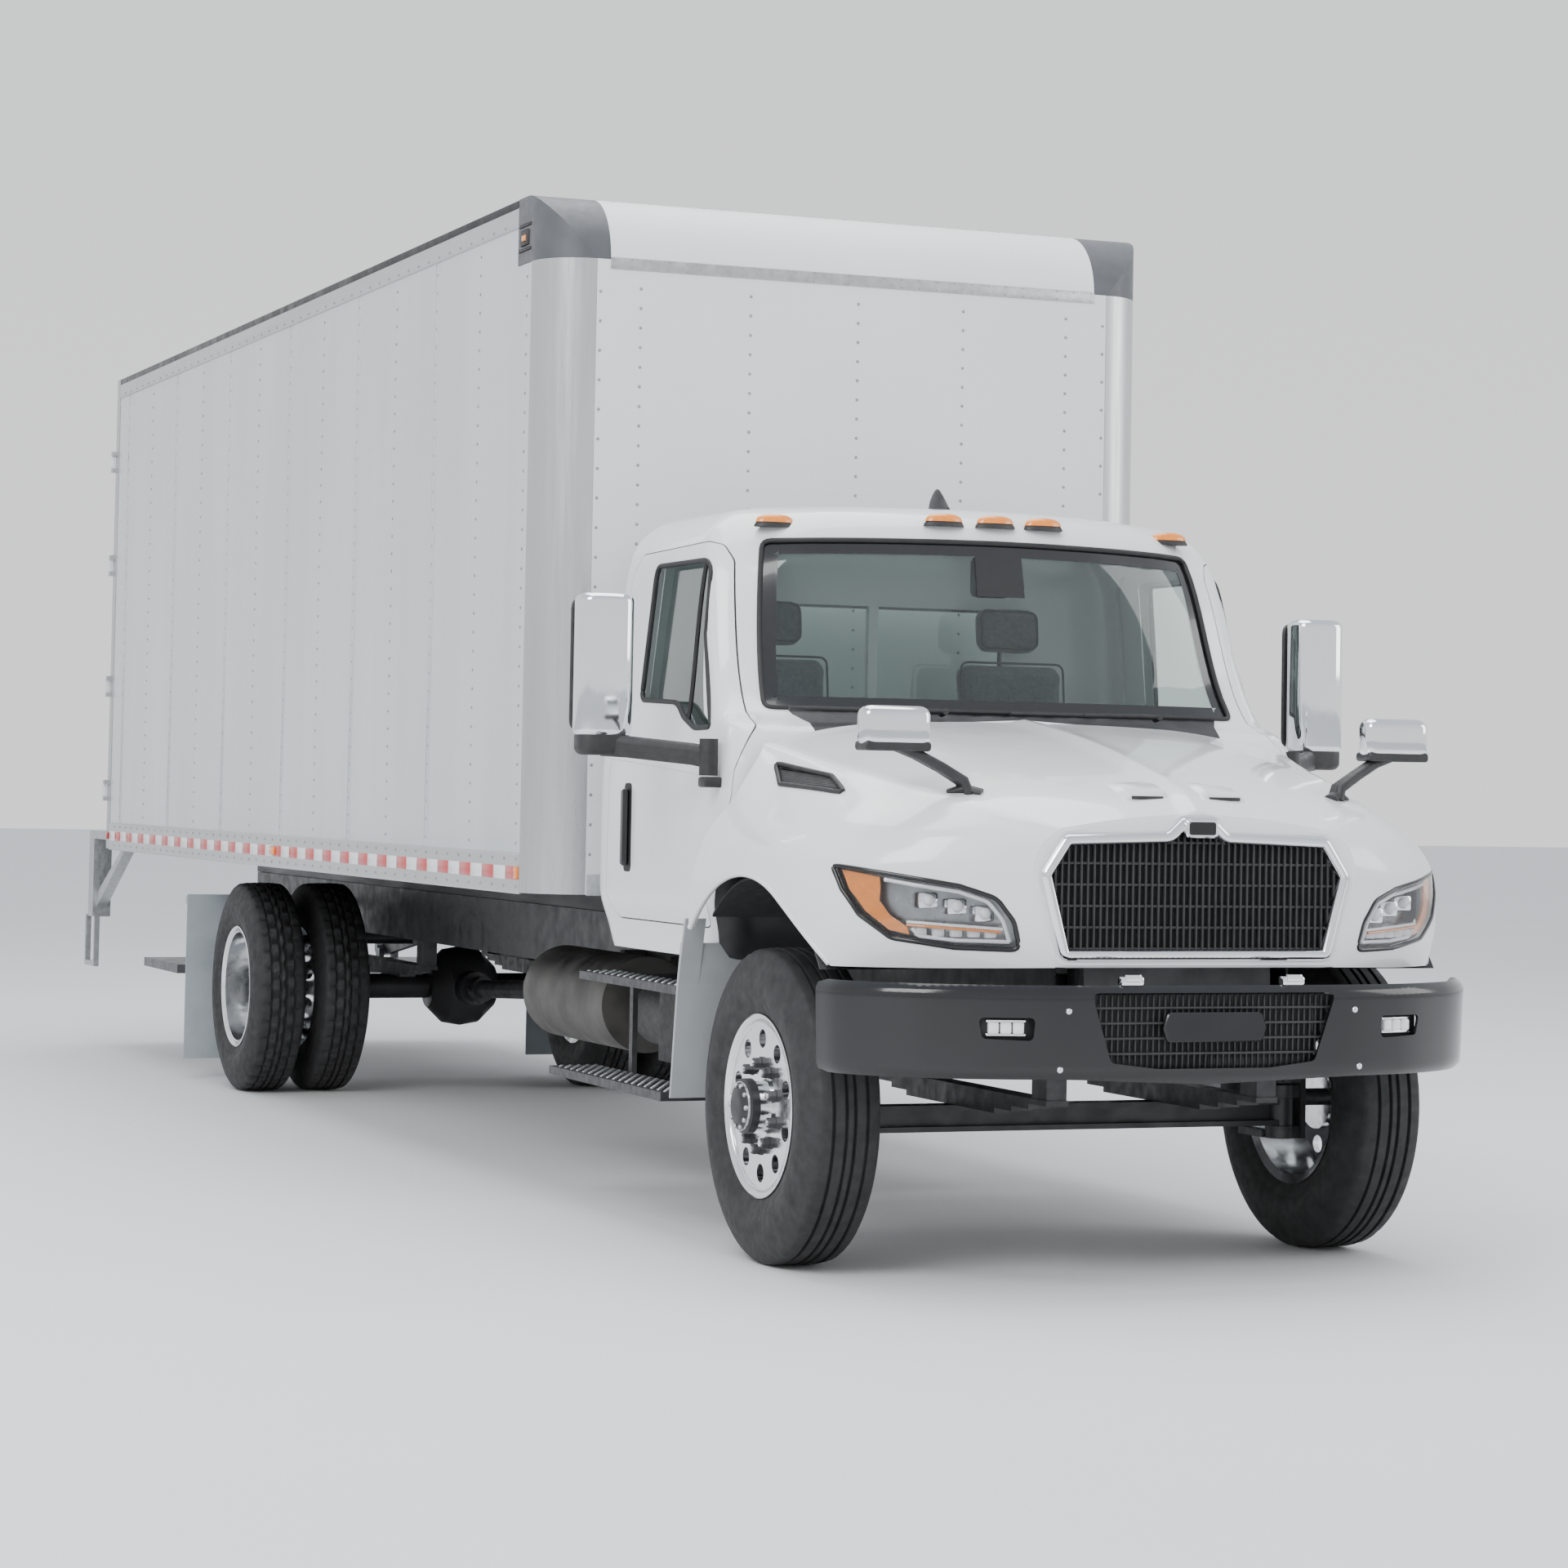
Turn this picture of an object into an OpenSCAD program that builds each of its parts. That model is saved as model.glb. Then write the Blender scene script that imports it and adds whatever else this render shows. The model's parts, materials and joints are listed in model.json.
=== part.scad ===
// Box truck for mail delivery: bonneted cab, dry-freight cargo box and tuck-under liftgate.
// Built about the front axle (y = 0 there, +y to the rear, +x to the driver's side), then
// moved so that the origin lies on the ground under the middle of the whole truck.

/* [Chassis] */
// Distance between the front and rear axles
wheelbase = 7070; // [6300:10:7600]
// Distance between the centres of the front tyres
front_track = 2020; // [1990:10:2040]
// Distance between the middles of the rear tyre pairs
rear_track = 1808; // [1780:4:1820]
// Distance between the two tyres of a rear pair
dual_spacing = 330; // [320:1:345]
// Width over the frame rails
frame_w = 860; // [840:5:880]
// Height of the top of the frame rails
frame_top = 1040; // [1020:5:1050]
// Height of a frame rail
rail_h = 250; // [220:5:270]
// Angle that the front wheels steer each way
steer_angle = 32; // [20:1:34]

/* [Wheels] */
// Outer diameter of a tyre
tyre_d = 1054; // [1000:2:1070]
// Width of a tyre
tyre_w = 279; // [250:1:285]
// Diameter of the rim where the tyre's bead sits
rim_d = 571; // [560:1:580]
// Width of the rim between its flanges
rim_w = 210; // [190:1:220]
// Diameter of the steering pins
kingpin_d = 40; // [36:1:44]
// Diameter of the front wheel spindles
spindle_d = 60; // [54:1:66]
// Diameter of the rear axle ends
axle_end_d = 90; // [80:1:100]

/* [Cargo box] */
// Length of the box
box_len = 7925; // [6100:1:8500]
// Width of the box
box_w = 2591; // [2400:1:2600]
// Height of the lower edge of the box
box_bottom = 1166; // [1140:2:1200]
// Height of the roof
box_top = 3876; // [3400:2:4100]
// Distance from the front axle to the front of the box
box_front = 1908; // [1880:2:2200]
// Radius of the upright corners of the box
corner_r = 200; // [120:5:220]
// Height of the curved top of the front wall
nose_r = 262; // [200:2:300]
// Thickness of the side and front panels
panel_t = 20; // [12:1:24]
// Height of the lower side rail
bottom_rail_h = 150; // [120:5:180]
// Height of the upper side rail
top_rail_h = 110; // [80:5:140]
// Spacing of the floor crossmembers
crossmember_pitch = 304.8; // [250:0.1:420]

/* [Cab] */
// Distance from the front axle to the back of the cab
cab_rear = 1745; // [1700:5:1800]
// Height of the cab floor
cab_floor = 1045; // [1042:1:1060]
// Thickness of the cab walls
cab_t = 45; // [35:1:50]
// Gap round each cab door
door_gap = 6; // [4:1:10]
// Distance that a door window drops
window_drop = 420; // [300:10:430]

/* [Bumper] */
// Distance from the front axle to the front of the bumper
bumper_front = 1100; // [1080:5:1140]
// Height of the upper edge of the bumper
bumper_top = 985; // [950:5:990]
// Height of the lower edge of the bumper
bumper_bottom = 690; // [640:5:720]

/* [Liftgate] */
// Length of the lift arms between their pivots
lift_arm_len = 1100; // [1090:5:1130]
// Depth of the folded platform
platform_len = 880; // [600:10:900]
// Width of the platform
platform_w = 1860; // [1500:10:1900]

/* [Hidden] */
$fn = 48;

// Running clearance on a radius, and the small gap between neighbouring pieces
fit = 0.05;
gap = 1;

paint = [0.93, 0.94, 0.94];
dark = [0.10, 0.10, 0.11];
steel = [0.30, 0.31, 0.33];
bright = [0.80, 0.81, 0.83];

box_rear = box_front + box_len;
half_w = box_w / 2;
floor_top = box_bottom + 134;
extension_len = 465;
lift_pivot = [box_rear - 483, 720];
lift_rest = -8;
lift_end = [lift_pivot.x + lift_arm_len * cos(lift_rest),
    lift_pivot.y + lift_arm_len * sin(lift_rest)];
arm_eye_r = 48;
// The lift arms or the foot loops reach furthest to the rear
loop_rear = box_rear + extension_len + 120;
y_mid = (max(loop_rear, lift_end.x + arm_eye_r) - bumper_front) / 2;
wheel_z = tyre_d / 2;
rail_x = frame_w / 2;
rail_bottom = frame_top - rail_h;

module in_frame() translate([0, -y_mid, 0]) children();
module block(lo, hi) translate(lo) cube(hi - lo);
module rod_x(r, x0, x1) translate([x0, 0, 0]) rotate([0, 90, 0]) cylinder(r = r, h = x1 - x0);
module rod_y(r, y0, y1) translate([0, y0, 0]) rotate([-90, 0, 0]) cylinder(r = r, h = y1 - y0);
module mirror_x() mirror([1, 0, 0]) children();
module both_sides() {
    children();
    mirror_x() children();
}
// Extrudes an outline drawn in (y, z) along x, and one drawn in (x, z) along y
module along_x(x0, x1) translate([x0, 0, 0]) rotate([90, 0, 90]) linear_extrude(x1 - x0) children();
module along_y(y0, y1) translate([0, y1, 0]) rotate([90, 0, 0]) linear_extrude(y1 - y0) children();
module rounded(lo, hi, r) translate(lo) {
    size = hi - lo;
    translate([r, 0]) square([size.x - 2 * r, size.y]);
    translate([0, r]) square([size.x, size.y - 2 * r]);
    for (x = [r, size.x - r], y = [r, size.y - r]) translate([x, y]) circle(r);
}
// A tapered bar between two points
module bar(a, b, ra, rb) hull() {
    translate(a) sphere(ra, $fn = 16);
    translate(b) sphere(rb, $fn = 16);
}

function reversed(list) = [for (i = [len(list) - 1:-1:0]) list[i]];

// A closed skin through rings of points, every ring with the same count, turning
// anticlockwise when it is seen from the side of the last ring
module loft(rings) {
    n = len(rings[0]);
    points = [for (ring = rings) for (p = ring) p];
    sides = [for (i = [0:len(rings) - 2], k = [0:n - 1]) each [
        [i * n + k, (i + 1) * n + k, i * n + (k + 1) % n],
        [i * n + (k + 1) % n, (i + 1) * n + k, (i + 1) * n + (k + 1) % n]]];
    last = (len(rings) - 1) * n;
    ends = [[for (k = [0:n - 1]) k], [for (k = [n - 1:-1:0]) last + k]];
    polyhedron(points, concat(sides, ends), convexity = 6);
}

// ---- wheels -------------------------------------------------------------------------

bead_gap = 0.4;
tyre_r = tyre_d / 2;
rim_r = rim_d / 2;

// Section of a tyre in (radius, width): tread, rounded shoulders, sidewalls and beads
function tyre_half() = [[rim_r + bead_gap, rim_w / 2 - 12], [rim_r + 34, rim_w / 2 - 2],
    for (a = [-60:20:60]) [tyre_r - 115 + 60 * sin(a), tyre_w / 2 - 40 + 40 * cos(a)],
    [tyre_r - 18, tyre_w / 2 - 26], [tyre_r, tyre_w / 2 - 48]];
module tyre_ring(x) {
    half = tyre_half();
    flip = [for (i = [len(half) - 1:-1:0]) [half[i].x, -half[i].y]];
    translate([x, 0, 0]) rotate([0, 90, 0])
        rotate_extrude($fn = 96) polygon(concat(half, flip));
}
// Section of a rim: a barrel with two flanges
module rim_barrel(x) {
    w = rim_w / 2;
    translate([x, 0, 0]) rotate([0, 90, 0]) rotate_extrude($fn = 96) polygon([
        [rim_r - 12, -w], [rim_r + 18, -w - 12], [rim_r + 18, -w - 4], [rim_r, -w + 2],
        [rim_r, w - 2], [rim_r + 18, w + 4], [rim_r + 18, w + 12], [rim_r - 12, w]]);
}
hand_holes = 10;
hand_hole_d = 62;
disc_t = 22;
module hand_hole_ring(r, d) for (k = [0:hand_holes - 1]) rotate(k * 360 / hand_holes)
    translate([r, 0, -1]) cylinder(d = d, h = 150);
module front_disc_plate() translate([front_disc, 0, 0]) rotate([0, 90, 0]) difference() {
    cylinder(r = rim_r - 11, h = disc_t, $fn = 96);
    hand_hole_ring(rim_r - 62, hand_hole_d);
}
studs = 10;
stud_circle = 286;
module stud_ring(x0, x1) for (k = [0:studs - 1]) rotate([k * 360 / studs, 0, 0])
    translate([0, 0, stud_circle / 2]) rod_x(11, x0, x1);

front_x = front_track / 2;
front_disc = front_x + rim_w / 2 - disc_t - 2;
hub_out = 100;
module front_wheel_rim() difference() {
    union() {
        rim_barrel(front_x);
        front_disc_plate();
        rod_x(112, front_disc - 90, front_disc + 30);
        rod_x(82, front_disc - 10, front_disc + hub_out);
        stud_ring(front_disc, front_disc + 62);
    }
    rod_x(spindle_d / 2 + fit, 0, front_disc + 50);
}
rear_x = rear_track / 2;
rear_hub_out = 130;
dish = dual_spacing / 2 - rim_w / 2 + 6;
// The two deep discs of a pair stand back to back
module rear_disc_plate(side) translate([rear_x + 2 * side, 0, 0]) rotate([0, 90 * side, 0])
    difference() {
        union() {
            cylinder(r = 182, h = disc_t);
            rotate_extrude($fn = 96) polygon([[180, 0], [rim_r - 11, dish],
                [rim_r - 11, dish + disc_t + 2], [180, disc_t]]);
        }
        hand_hole_ring(228, hand_hole_d - 10);
    }
module rear_wheel_rims() difference() {
    union() {
        for (side = [-1, 1]) {
            rim_barrel(rear_x + side * dual_spacing / 2);
            rear_disc_plate(side);
        }
        rod_x(122, rear_x - 60, rear_x + 60);
        rod_x(95, rear_x + 40, rear_x + rear_hub_out);
        stud_ring(rear_x, rear_x + 78);
    }
    rod_x(axle_end_d / 2 + fit, 0, rear_x + 100);
}
module at_front_wheel() in_frame() translate([0, 0, wheel_z]) children();
module at_rear_wheel() in_frame() translate([0, wheelbase, wheel_z]) children();

module front_tyre_left() color(dark) at_front_wheel() tyre_ring(front_x);
module front_tyre_right() color(dark) at_front_wheel() mirror_x() tyre_ring(front_x);
module front_rim_left() color(bright) at_front_wheel() front_wheel_rim();
module front_rim_right() color(bright) at_front_wheel() mirror_x() front_wheel_rim();
module rear_tyre_pair() for (s = [-1, 1]) tyre_ring(rear_x + s * dual_spacing / 2);
module rear_tyres_left() color(dark) at_rear_wheel() rear_tyre_pair();
module rear_tyres_right() color(dark) at_rear_wheel() mirror_x() rear_tyre_pair();
module rear_rims_left() color(bright) at_rear_wheel() rear_wheel_rims();
module rear_rims_right() color(bright) at_rear_wheel() mirror_x() rear_wheel_rims();

// ---- axles, springs and steering ------------------------------------------------------

kingpin_x = front_x - 150;
beam_low = -95;
beam_top = -5;
boss_r = 52;
boss_h = 96;
yoke_gap = 1;
module front_axle() color(steel) at_front_wheel() {
    both_sides() difference() {
        union() {
            along_x(0, kingpin_x - 20) translate([0, beam_low]) {
                translate([-45, 0]) square([90, 18]);
                translate([-12, 0]) square([24, beam_top - beam_low]);
                translate([-45, beam_top - beam_low - 18]) square([90, 18]);
            }
            translate([kingpin_x, 0, -boss_h]) cylinder(r = boss_r, h = boss_h);
        }
        translate([kingpin_x, 0, -boss_h - 1]) cylinder(r = kingpin_d / 2 + fit, h = boss_h + 2);
    }
}
module knuckle() {
    translate([kingpin_x, 0, 0]) {
        translate([0, 0, -boss_h - 46]) cylinder(d = kingpin_d, h = boss_h + 92);
        for (z = [yoke_gap, -boss_h - 46]) translate([0, 0, z]) cylinder(r = boss_r, h = 44);
        block([boss_r + 4, -50, -boss_h - 46], [boss_r + 24, 50, 90]);
        for (z = [yoke_gap, -boss_h - 46]) block([0, -40, z], [boss_r + 10, 40, z + 44]);
    }
    rod_x(spindle_d / 2, kingpin_x + boss_r + 10, front_disc + 40);
    // Steering arm to the rear
    block([kingpin_x - 60, 30, -boss_h - 46], [kingpin_x - 20, 190, -boss_h - 20]);
    block([kingpin_x - 60, 20, -boss_h - 46], [kingpin_x + 20, 45, -boss_h - 20]);
}
module knuckle_left() color(steel) at_front_wheel() knuckle();
module knuckle_right() color(steel) at_front_wheel() mirror_x() knuckle();

diff_nose = 300;
axle_tube_r = 64;
module rear_axle() color(steel) at_rear_wheel() {
    rod_x(axle_tube_r, -rear_x + 62, rear_x - 62);
    rod_x(axle_end_d / 2, -rear_x - 90, rear_x + 90);
    rotate([0, 90, 0]) rotate_extrude() polygon([[0, -190], [110, -175], [190, -90],
        [205, 0], [190, 90], [110, 175], [0, 190]]);
    rod_y(85, -diff_nose, 0);
}
spring_x = rail_x - 45;
leaf_t = 18;
leaf_count = 4;
pack_h = leaf_count * leaf_t;
module leaf_pack(y, z, length) for (i = [0:leaf_count - 1])
    block([spring_x - 40, y - length / 2 + i * 130, z - (i + 1) * leaf_t],
        [spring_x + 40, y + length / 2 - i * 130, z - i * leaf_t]);
module hanger(y, z) block([spring_x - 36, y - 55, z], [spring_x + 36, y + 55, rail_bottom - gap]);
front_spring_z = wheel_z + beam_top + gap + pack_h;
rear_spring_z = wheel_z + axle_tube_r + gap + pack_h;
module leaf_springs() color(dark) in_frame() both_sides() {
    leaf_pack(0, front_spring_z, 1500);
    leaf_pack(wheelbase, rear_spring_z, 1500);
    for (s = [-690, 690]) {
        hanger(s, front_spring_z);
        hanger(wheelbase + s, rear_spring_z);
    }
}

// ---- frame and what hangs on it --------------------------------------------------------

frame_front = -800;
frame_rear = box_rear - 130;
rail_t = 9;
flange = 80;
function member_rows() = [-700, 1550, 2800, 4100, 5400, wheelbase + 900, frame_rear - 500];
module chassis_frame() color(dark) in_frame() {
    both_sides() along_y(frame_front, frame_rear) difference() {
        translate([rail_x - flange, rail_bottom]) square([flange, rail_h]);
        translate([rail_x - flange - 1, rail_bottom + rail_t])
            square([flange - rail_t + 1, rail_h - 2 * rail_t]);
    }
    for (y = member_rows()) block([-rail_x + rail_t, y, frame_top - 150],
        [rail_x - rail_t, y + 70, frame_top - 40]);
}

gearbox_rear = 1300;
shaft_z = 800;
module powertrain() color(steel) in_frame() {
    block([-270, -420, 800], [270, 330, 1420]);
    block([-200, -380, 1419], [200, 285, 1500]);
    translate([0, 0, shaft_z]) rod_y(210, 329, 700);
    translate([0, 0, shaft_z]) rod_y(150, 699, gearbox_rear - 60);
    translate([0, 0, shaft_z]) rod_y(70, gearbox_rear - 61, gearbox_rear);
    translate([0, 0, 1080]) rod_y(230, -560, -500);
    translate([0, 0, 1080]) rod_y(50, -501, -419);
    block([-230, -250, 640], [230, 250, 801]);
    // Radiator and its charge cooler
    block([-rail_x + flange + 5, -790, 850], [rail_x - flange - 5, -730, 1440]);
    block([-rail_x + flange + 10, -840, 880], [rail_x - flange - 10, -800, 1400]);
}
// The shaft runs downhill to the rear axle, turning in the gearbox and the axle nose
shaft_gap = 25;
shaft_front = [0, gearbox_rear + shaft_gap, shaft_z];
shaft_rear = [0, wheelbase - diff_nose - shaft_gap, wheel_z];
shaft_drop = atan2(shaft_front.z - shaft_rear.z, shaft_rear.y - shaft_front.y);
module driveshaft() color(steel) in_frame() translate(shaft_front) rotate([-shaft_drop, 0, 0]) {
    span = norm(shaft_rear - shaft_front);
    rod_y(45, 0, span);
    for (y = [0, span - 110]) rod_y(62, y, y + 110);
    for (y = [55, span - 55], a = [0, 90]) translate([0, y, 0]) rotate([0, a, 0])
        translate([0, 0, -72]) cylinder(r = 16, h = 144);
}

module fuel_tank() color(bright) in_frame() {
    along_y(2250, 3650) rounded([rail_x + 60, 480], [rail_x + 560, 960], 110);
    for (y = [2450, 3400]) block([rail_x + gap, y, 700], [rail_x + 61, y + 60, 1000]);
}
module battery_box() color(dark) in_frame() mirror_x() {
    block([rail_x + 70, 1000, 560], [rail_x + 480, 1560, 830]);
    block([rail_x + gap, 1050, 760], [rail_x + 71, 1110, 830]);
    block([rail_x + gap, 1450, 760], [rail_x + 71, 1510, 830]);
    // Air tank behind it, across the frame's outside
    translate([rail_x + 250, 0, 700]) rod_y(125, 1640, 2150);
    block([rail_x + gap, 1850, 800], [rail_x + 251, 1900, 830]);
}
module exhaust() color(steel) in_frame() mirror_x() {
    translate([rail_x + 260, 0, 720]) {
        rod_y(190, 2300, 3300);
        rod_y(60, 3299, 3700);
    }
    block([rail_x + gap, 2500, 780], [rail_x + 90, 2560, 900]);
    block([rail_x + gap, 3050, 780], [rail_x + 90, 3110, 900]);
}

// ---- bumper ---------------------------------------------------------------------------

bumper_t = 60;
bumper_half = 1180;
function bumper_line(t) = [[0, -bumper_front + t], [450, -bumper_front + t],
    [700, -bumper_front + 45 + t], [940, -bumper_front + 150 + t],
    [bumper_half - 50 - t * 0.7, -bumper_front + 330 + t * 0.4],
    [bumper_half - t, -bumper_front + 490]];
function flip_line(line) = [for (p = reversed(line)) [-p.x, p.y]];
opening_half = 440;
module bumper() color(dark) in_frame() {
    difference() {
        translate([0, 0, bumper_bottom]) linear_extrude(bumper_top - bumper_bottom)
            polygon(concat(flip_line(bumper_line(0)), bumper_line(0),
                flip_line([for (p = bumper_line(bumper_t)) [-p.x, p.y]]),
                [for (p = bumper_line(bumper_t)) [-p.x, p.y]]));
        along_y(-bumper_front - 1, -bumper_front + 30) polygon([[-opening_half, bumper_top - 20],
            [opening_half, bumper_top - 20], [opening_half - 90, bumper_bottom + 40],
            [0, bumper_bottom + 15], [-opening_half + 90, bumper_bottom + 40]]);
    }
    // Arms back to the frame
    both_sides() block([rail_x - 60, -bumper_front + bumper_t - 1, rail_bottom + 20],
        [rail_x - 20, frame_front - gap, bumper_top - 60]);
}

// ---- cab --------------------------------------------------------------------------------

// Each row: height, half width, front at the middle, front at the pillar, back
function cab_rows() = [
    [cab_floor, 1070, 445, 450, cab_rear - 25],
    [1200, 1112, 445, 450, cab_rear],
    [1330, 1112, 400, 410, cab_rear],
    [1560, 1112, 285, 305, cab_rear],
    [1640, 1112, 285, 305, cab_rear],
    [1800, 1085, 340, 365, cab_rear],
    [1850, 1080, 432, 500, cab_rear],
    [2440, 1018, 572, 780, cab_rear - 15],
    [2530, 965, 600, 830, cab_rear - 30],
    [2590, 860, 670, 900, cab_rear - 60],
    [2625, 600, 850, 1080, cab_rear - 140]];
function cab_ring(row, t, dz) = let (w = row[1] - t, c = row[2] + t, k = row[3] + t, r = row[4] - t)
    let (half = [[0.35 * w, c + 0.12 * (k - c)], [0.66 * w, c + 0.42 * (k - c)],
        [0.90 * w, k], [w, k + 110], [w, r - 60], [w - 50, r]])
    [for (p = half) [p.x, p.y, row[0] + dz],
     for (i = [len(half) - 1:-1:0]) [-half[i].x, half[i].y, row[0] + dz]];
module cab_solid(t) {
    rows = cab_rows();
    last = len(rows) - 1;
    loft([for (i = [0:last]) cab_ring(rows[i], t, i == 0 ? t : (i == last ? -t : -t * i / last))]);
}
function door_outline() = [[566, 1098], [556, 1200], [512, 1310], [430, 1430], [330, 1560],
    [330, 1650], [430, 1850], [640, 2420], [700, 2450], [1540, 2450], [1600, 2390],
    [1610, 1168], [1540, 1098]];
function window_outline() = [[585, 1790], [800, 1790], [960, 1890], [1370, 1905], [1350, 2405],
    [850, 2405]];
// The outer part of the cab, where a door can be; it leans in with the pillars
module door_zone(grow = 0) along_y(200, 1700) polygon([[985 - grow, 1000], [985 - grow, 1850],
    [930 - grow, 2500], [1400, 2500], [1400, 1000]]);
module door_hole() intersection() {
    along_x(850, 1300) offset(delta = door_gap) polygon(door_outline());
    door_zone(door_gap);
}
module cab_shell() color(paint) in_frame() {
    difference() {
        cab_solid(0);
        cab_solid(cab_t);
        both_sides() door_hole();
        windscreen_block();
        // Rear window
        along_y(cab_rear - 200, cab_rear + 100) rounded([-560, 1800], [560, 2300], 60);
    }
    // Sills under the doors
    both_sides() block([900, 610, cab_floor - 70], [1100, cab_rear - 60, cab_floor + 1]);
    // Stubs that the wipers turn on
    for (x = [wiper_left_x, wiper_right_x]) at_wiper(x) translate([0, 0, -80])
        cylinder(r = 10, h = 80 - gap);
}
screen_w = 925;
module windscreen_block(grow = 0) along_y(200, 1000)
    polygon([[-screen_w - grow, 1866 - grow], [screen_w + grow, 1866 - grow],
        [screen_w - 80 + grow, 2470 + grow], [-screen_w + 80 - grow, 2470 + grow]]);
screen_sink = 8;
screen_t = 7;
module windscreen() color([0.35, 0.42, 0.42, 0.5]) in_frame() {
    intersection() {
        difference() {
            cab_solid(screen_sink);
            cab_solid(screen_sink + screen_t);
        }
        windscreen_block(-gap);
    }
    // Rear window glass
    intersection() {
        along_y(cab_rear - 40, cab_rear - 33) rounded([-559, 1801], [559, 2299], 59);
        cab_solid(screen_sink);
    }
}
module cab_door() {
    difference() {
        intersection() {
            difference() {
                cab_solid(0);
                cab_solid(cab_t + 10);
            }
            along_x(850, 1300) polygon(door_outline());
            door_zone();
        }
        along_x(850, 1300) polygon(window_outline());
        // The slot that the window drops into
        window_sweep();
    }
    // Bracket that the mirror turns on
    block([1102, mirror_pivot.y - 26, mirror_low - 36], [mirror_pivot.x + 26,
        mirror_pivot.y + 26, mirror_low - gap]);
}
// The window pane leans in with the upper door; it drops along its own plane
pane_lean = atan2(70, 700);
pane_x = 1046;
pane_t = 5;
module pane(t, low, high) translate([pane_x, 0, 1790]) rotate([0, -pane_lean, 0])
    along_x(-t / 2, t / 2) polygon([[562, low], [812, low], [968, low + 100], [1392, low + 112],
        [1374, high], [828, high]]);
module window_sweep() translate([pane_x, 0, 1790]) rotate([0, -pane_lean, 0])
    along_x(-pane_t / 2 - 3, pane_t / 2 + 3) polygon([[556, -26 - window_drop],
        [818, -26 - window_drop], [974, 74 - window_drop], [1398, 86 - window_drop], [1398, 0],
        [1380, 630], [822, 630], [556, 0]]);
module door_left() color(paint) in_frame() cab_door();
module door_right() color(paint) in_frame() mirror_x() cab_door();
module window_left() color([0.35, 0.42, 0.42, 0.5]) in_frame() pane(pane_t, -20, 622);
module window_right() color([0.35, 0.42, 0.42, 0.5]) in_frame() mirror_x() pane(pane_t, -20, 622);

module door_handle() along_x(1113.5, 1140) rounded([1362, 1290], [1402, 1575], 19);
module handle_left() color(dark) in_frame() door_handle();
module handle_right() color(dark) in_frame() mirror_x() door_handle();

mirror_pivot = [1150, 460];
mirror_low = 1625;
module mirror_assembly() {
    along = [1420, 780];
    translate([mirror_pivot.x, mirror_pivot.y, mirror_low]) cylinder(r = 34, h = 130);
    hull() {
        translate([mirror_pivot.x, mirror_pivot.y, 1640]) cylinder(r = 32, h = 100, $fn = 32);
        translate([along.x - 60, along.y - 60, 1700]) cylinder(r = 24, h = 60, $fn = 32);
    }
    translate([0, 0, 1700]) linear_extrude(55) rounded([1328, 705], [1534, 865], 60);
    translate([0, 0, 1754]) linear_extrude(508) rounded([1328, 705], [1534, 865], 60);
}
module mirror_left() color(bright) in_frame() mirror_assembly();
module mirror_right() color(bright) in_frame() mirror_x() mirror_assembly();

column_foot = [500, 560, 1330];
wheel_hub = [500, 810, 1720];
column_tilt = atan2(wheel_hub.z - column_foot.z, wheel_hub.y - column_foot.y);
column_len = norm(wheel_hub - column_foot);
module dashboard() color([0.25, 0.26, 0.28]) in_frame() {
    difference() {
        along_x(-930, 930) polygon([[480, 1350], [700, 1350], [740, 1560], [700, 1720],
            [640, 1770], [500, 1780], [400, 1735], [400, 1500]]);
        translate(column_foot) rotate([column_tilt, 0, 0]) rod_y(46, -200, column_len);
    }
    translate(column_foot) rotate([column_tilt, 0, 0]) rod_y(44, -40, column_len - 90);
    block([-200, 745, cab_floor + cab_t + gap], [200, 900, 1500]);
}
module steering_wheel() color(dark) in_frame() translate(wheel_hub) rotate([column_tilt, 0, 0])
    rotate([-90, 0, 0]) {
        rotate_extrude() translate([205, 0]) circle(16);
        cylinder(r = 60, h = 24, center = true);
        translate([0, 0, -88]) cylinder(r = 26, h = 80);
        for (a = [90, 210, 330]) rotate(a) block([0, -20, -8], [195, 20, 8]);
    }

seat_x = 500;
module seat_bases() color(steel) in_frame() both_sides() {
    block([seat_x - 190, 1000, cab_floor + cab_t + gap], [seat_x + 190, 1380, 1380]);
    block([seat_x - 230, 960, 1380], [seat_x + 230, 1420, 1410]);
}
module seat_pads() color([0.32, 0.34, 0.36]) in_frame() both_sides() {
    // Cushion, back and head rest
    along_x(seat_x - 250, seat_x + 250) rounded([990, 1411], [1428, 1550], 45);
    along_x(seat_x - 240, seat_x + 240) translate([1430, 1552]) rotate(-6)
        rounded([0, 0], [110, 560], 45);
    along_x(seat_x - 140, seat_x + 140) translate([1500, 2125]) rotate(-6)
        rounded([0, 0], [90, 190], 40);
}

// The wipers turn about the line that stands square to the windscreen
screen_lean = atan2(140, 590);
wiper_y = 415;
wiper_z = 1860;
module at_wiper(x) translate([x, wiper_y, wiper_z]) rotate([90 - screen_lean, 0, 0]) children();
module wiper(x) at_wiper(x) {
    cylinder(r = 14, h = 44);
    translate([0, 0, 34]) bar([0, 0, 0], [-300, 0, 0], 9, 7);
    block([-590, -9, 12], [-40, 9, 30]);
}
wiper_left_x = 560;
wiper_right_x = -290;
module wiper_left() color(dark) in_frame() wiper(wiper_left_x);
module wiper_right() color(dark) in_frame() wiper(wiper_right_x);

// ---- steps and inner fenders --------------------------------------------------------------

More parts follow.
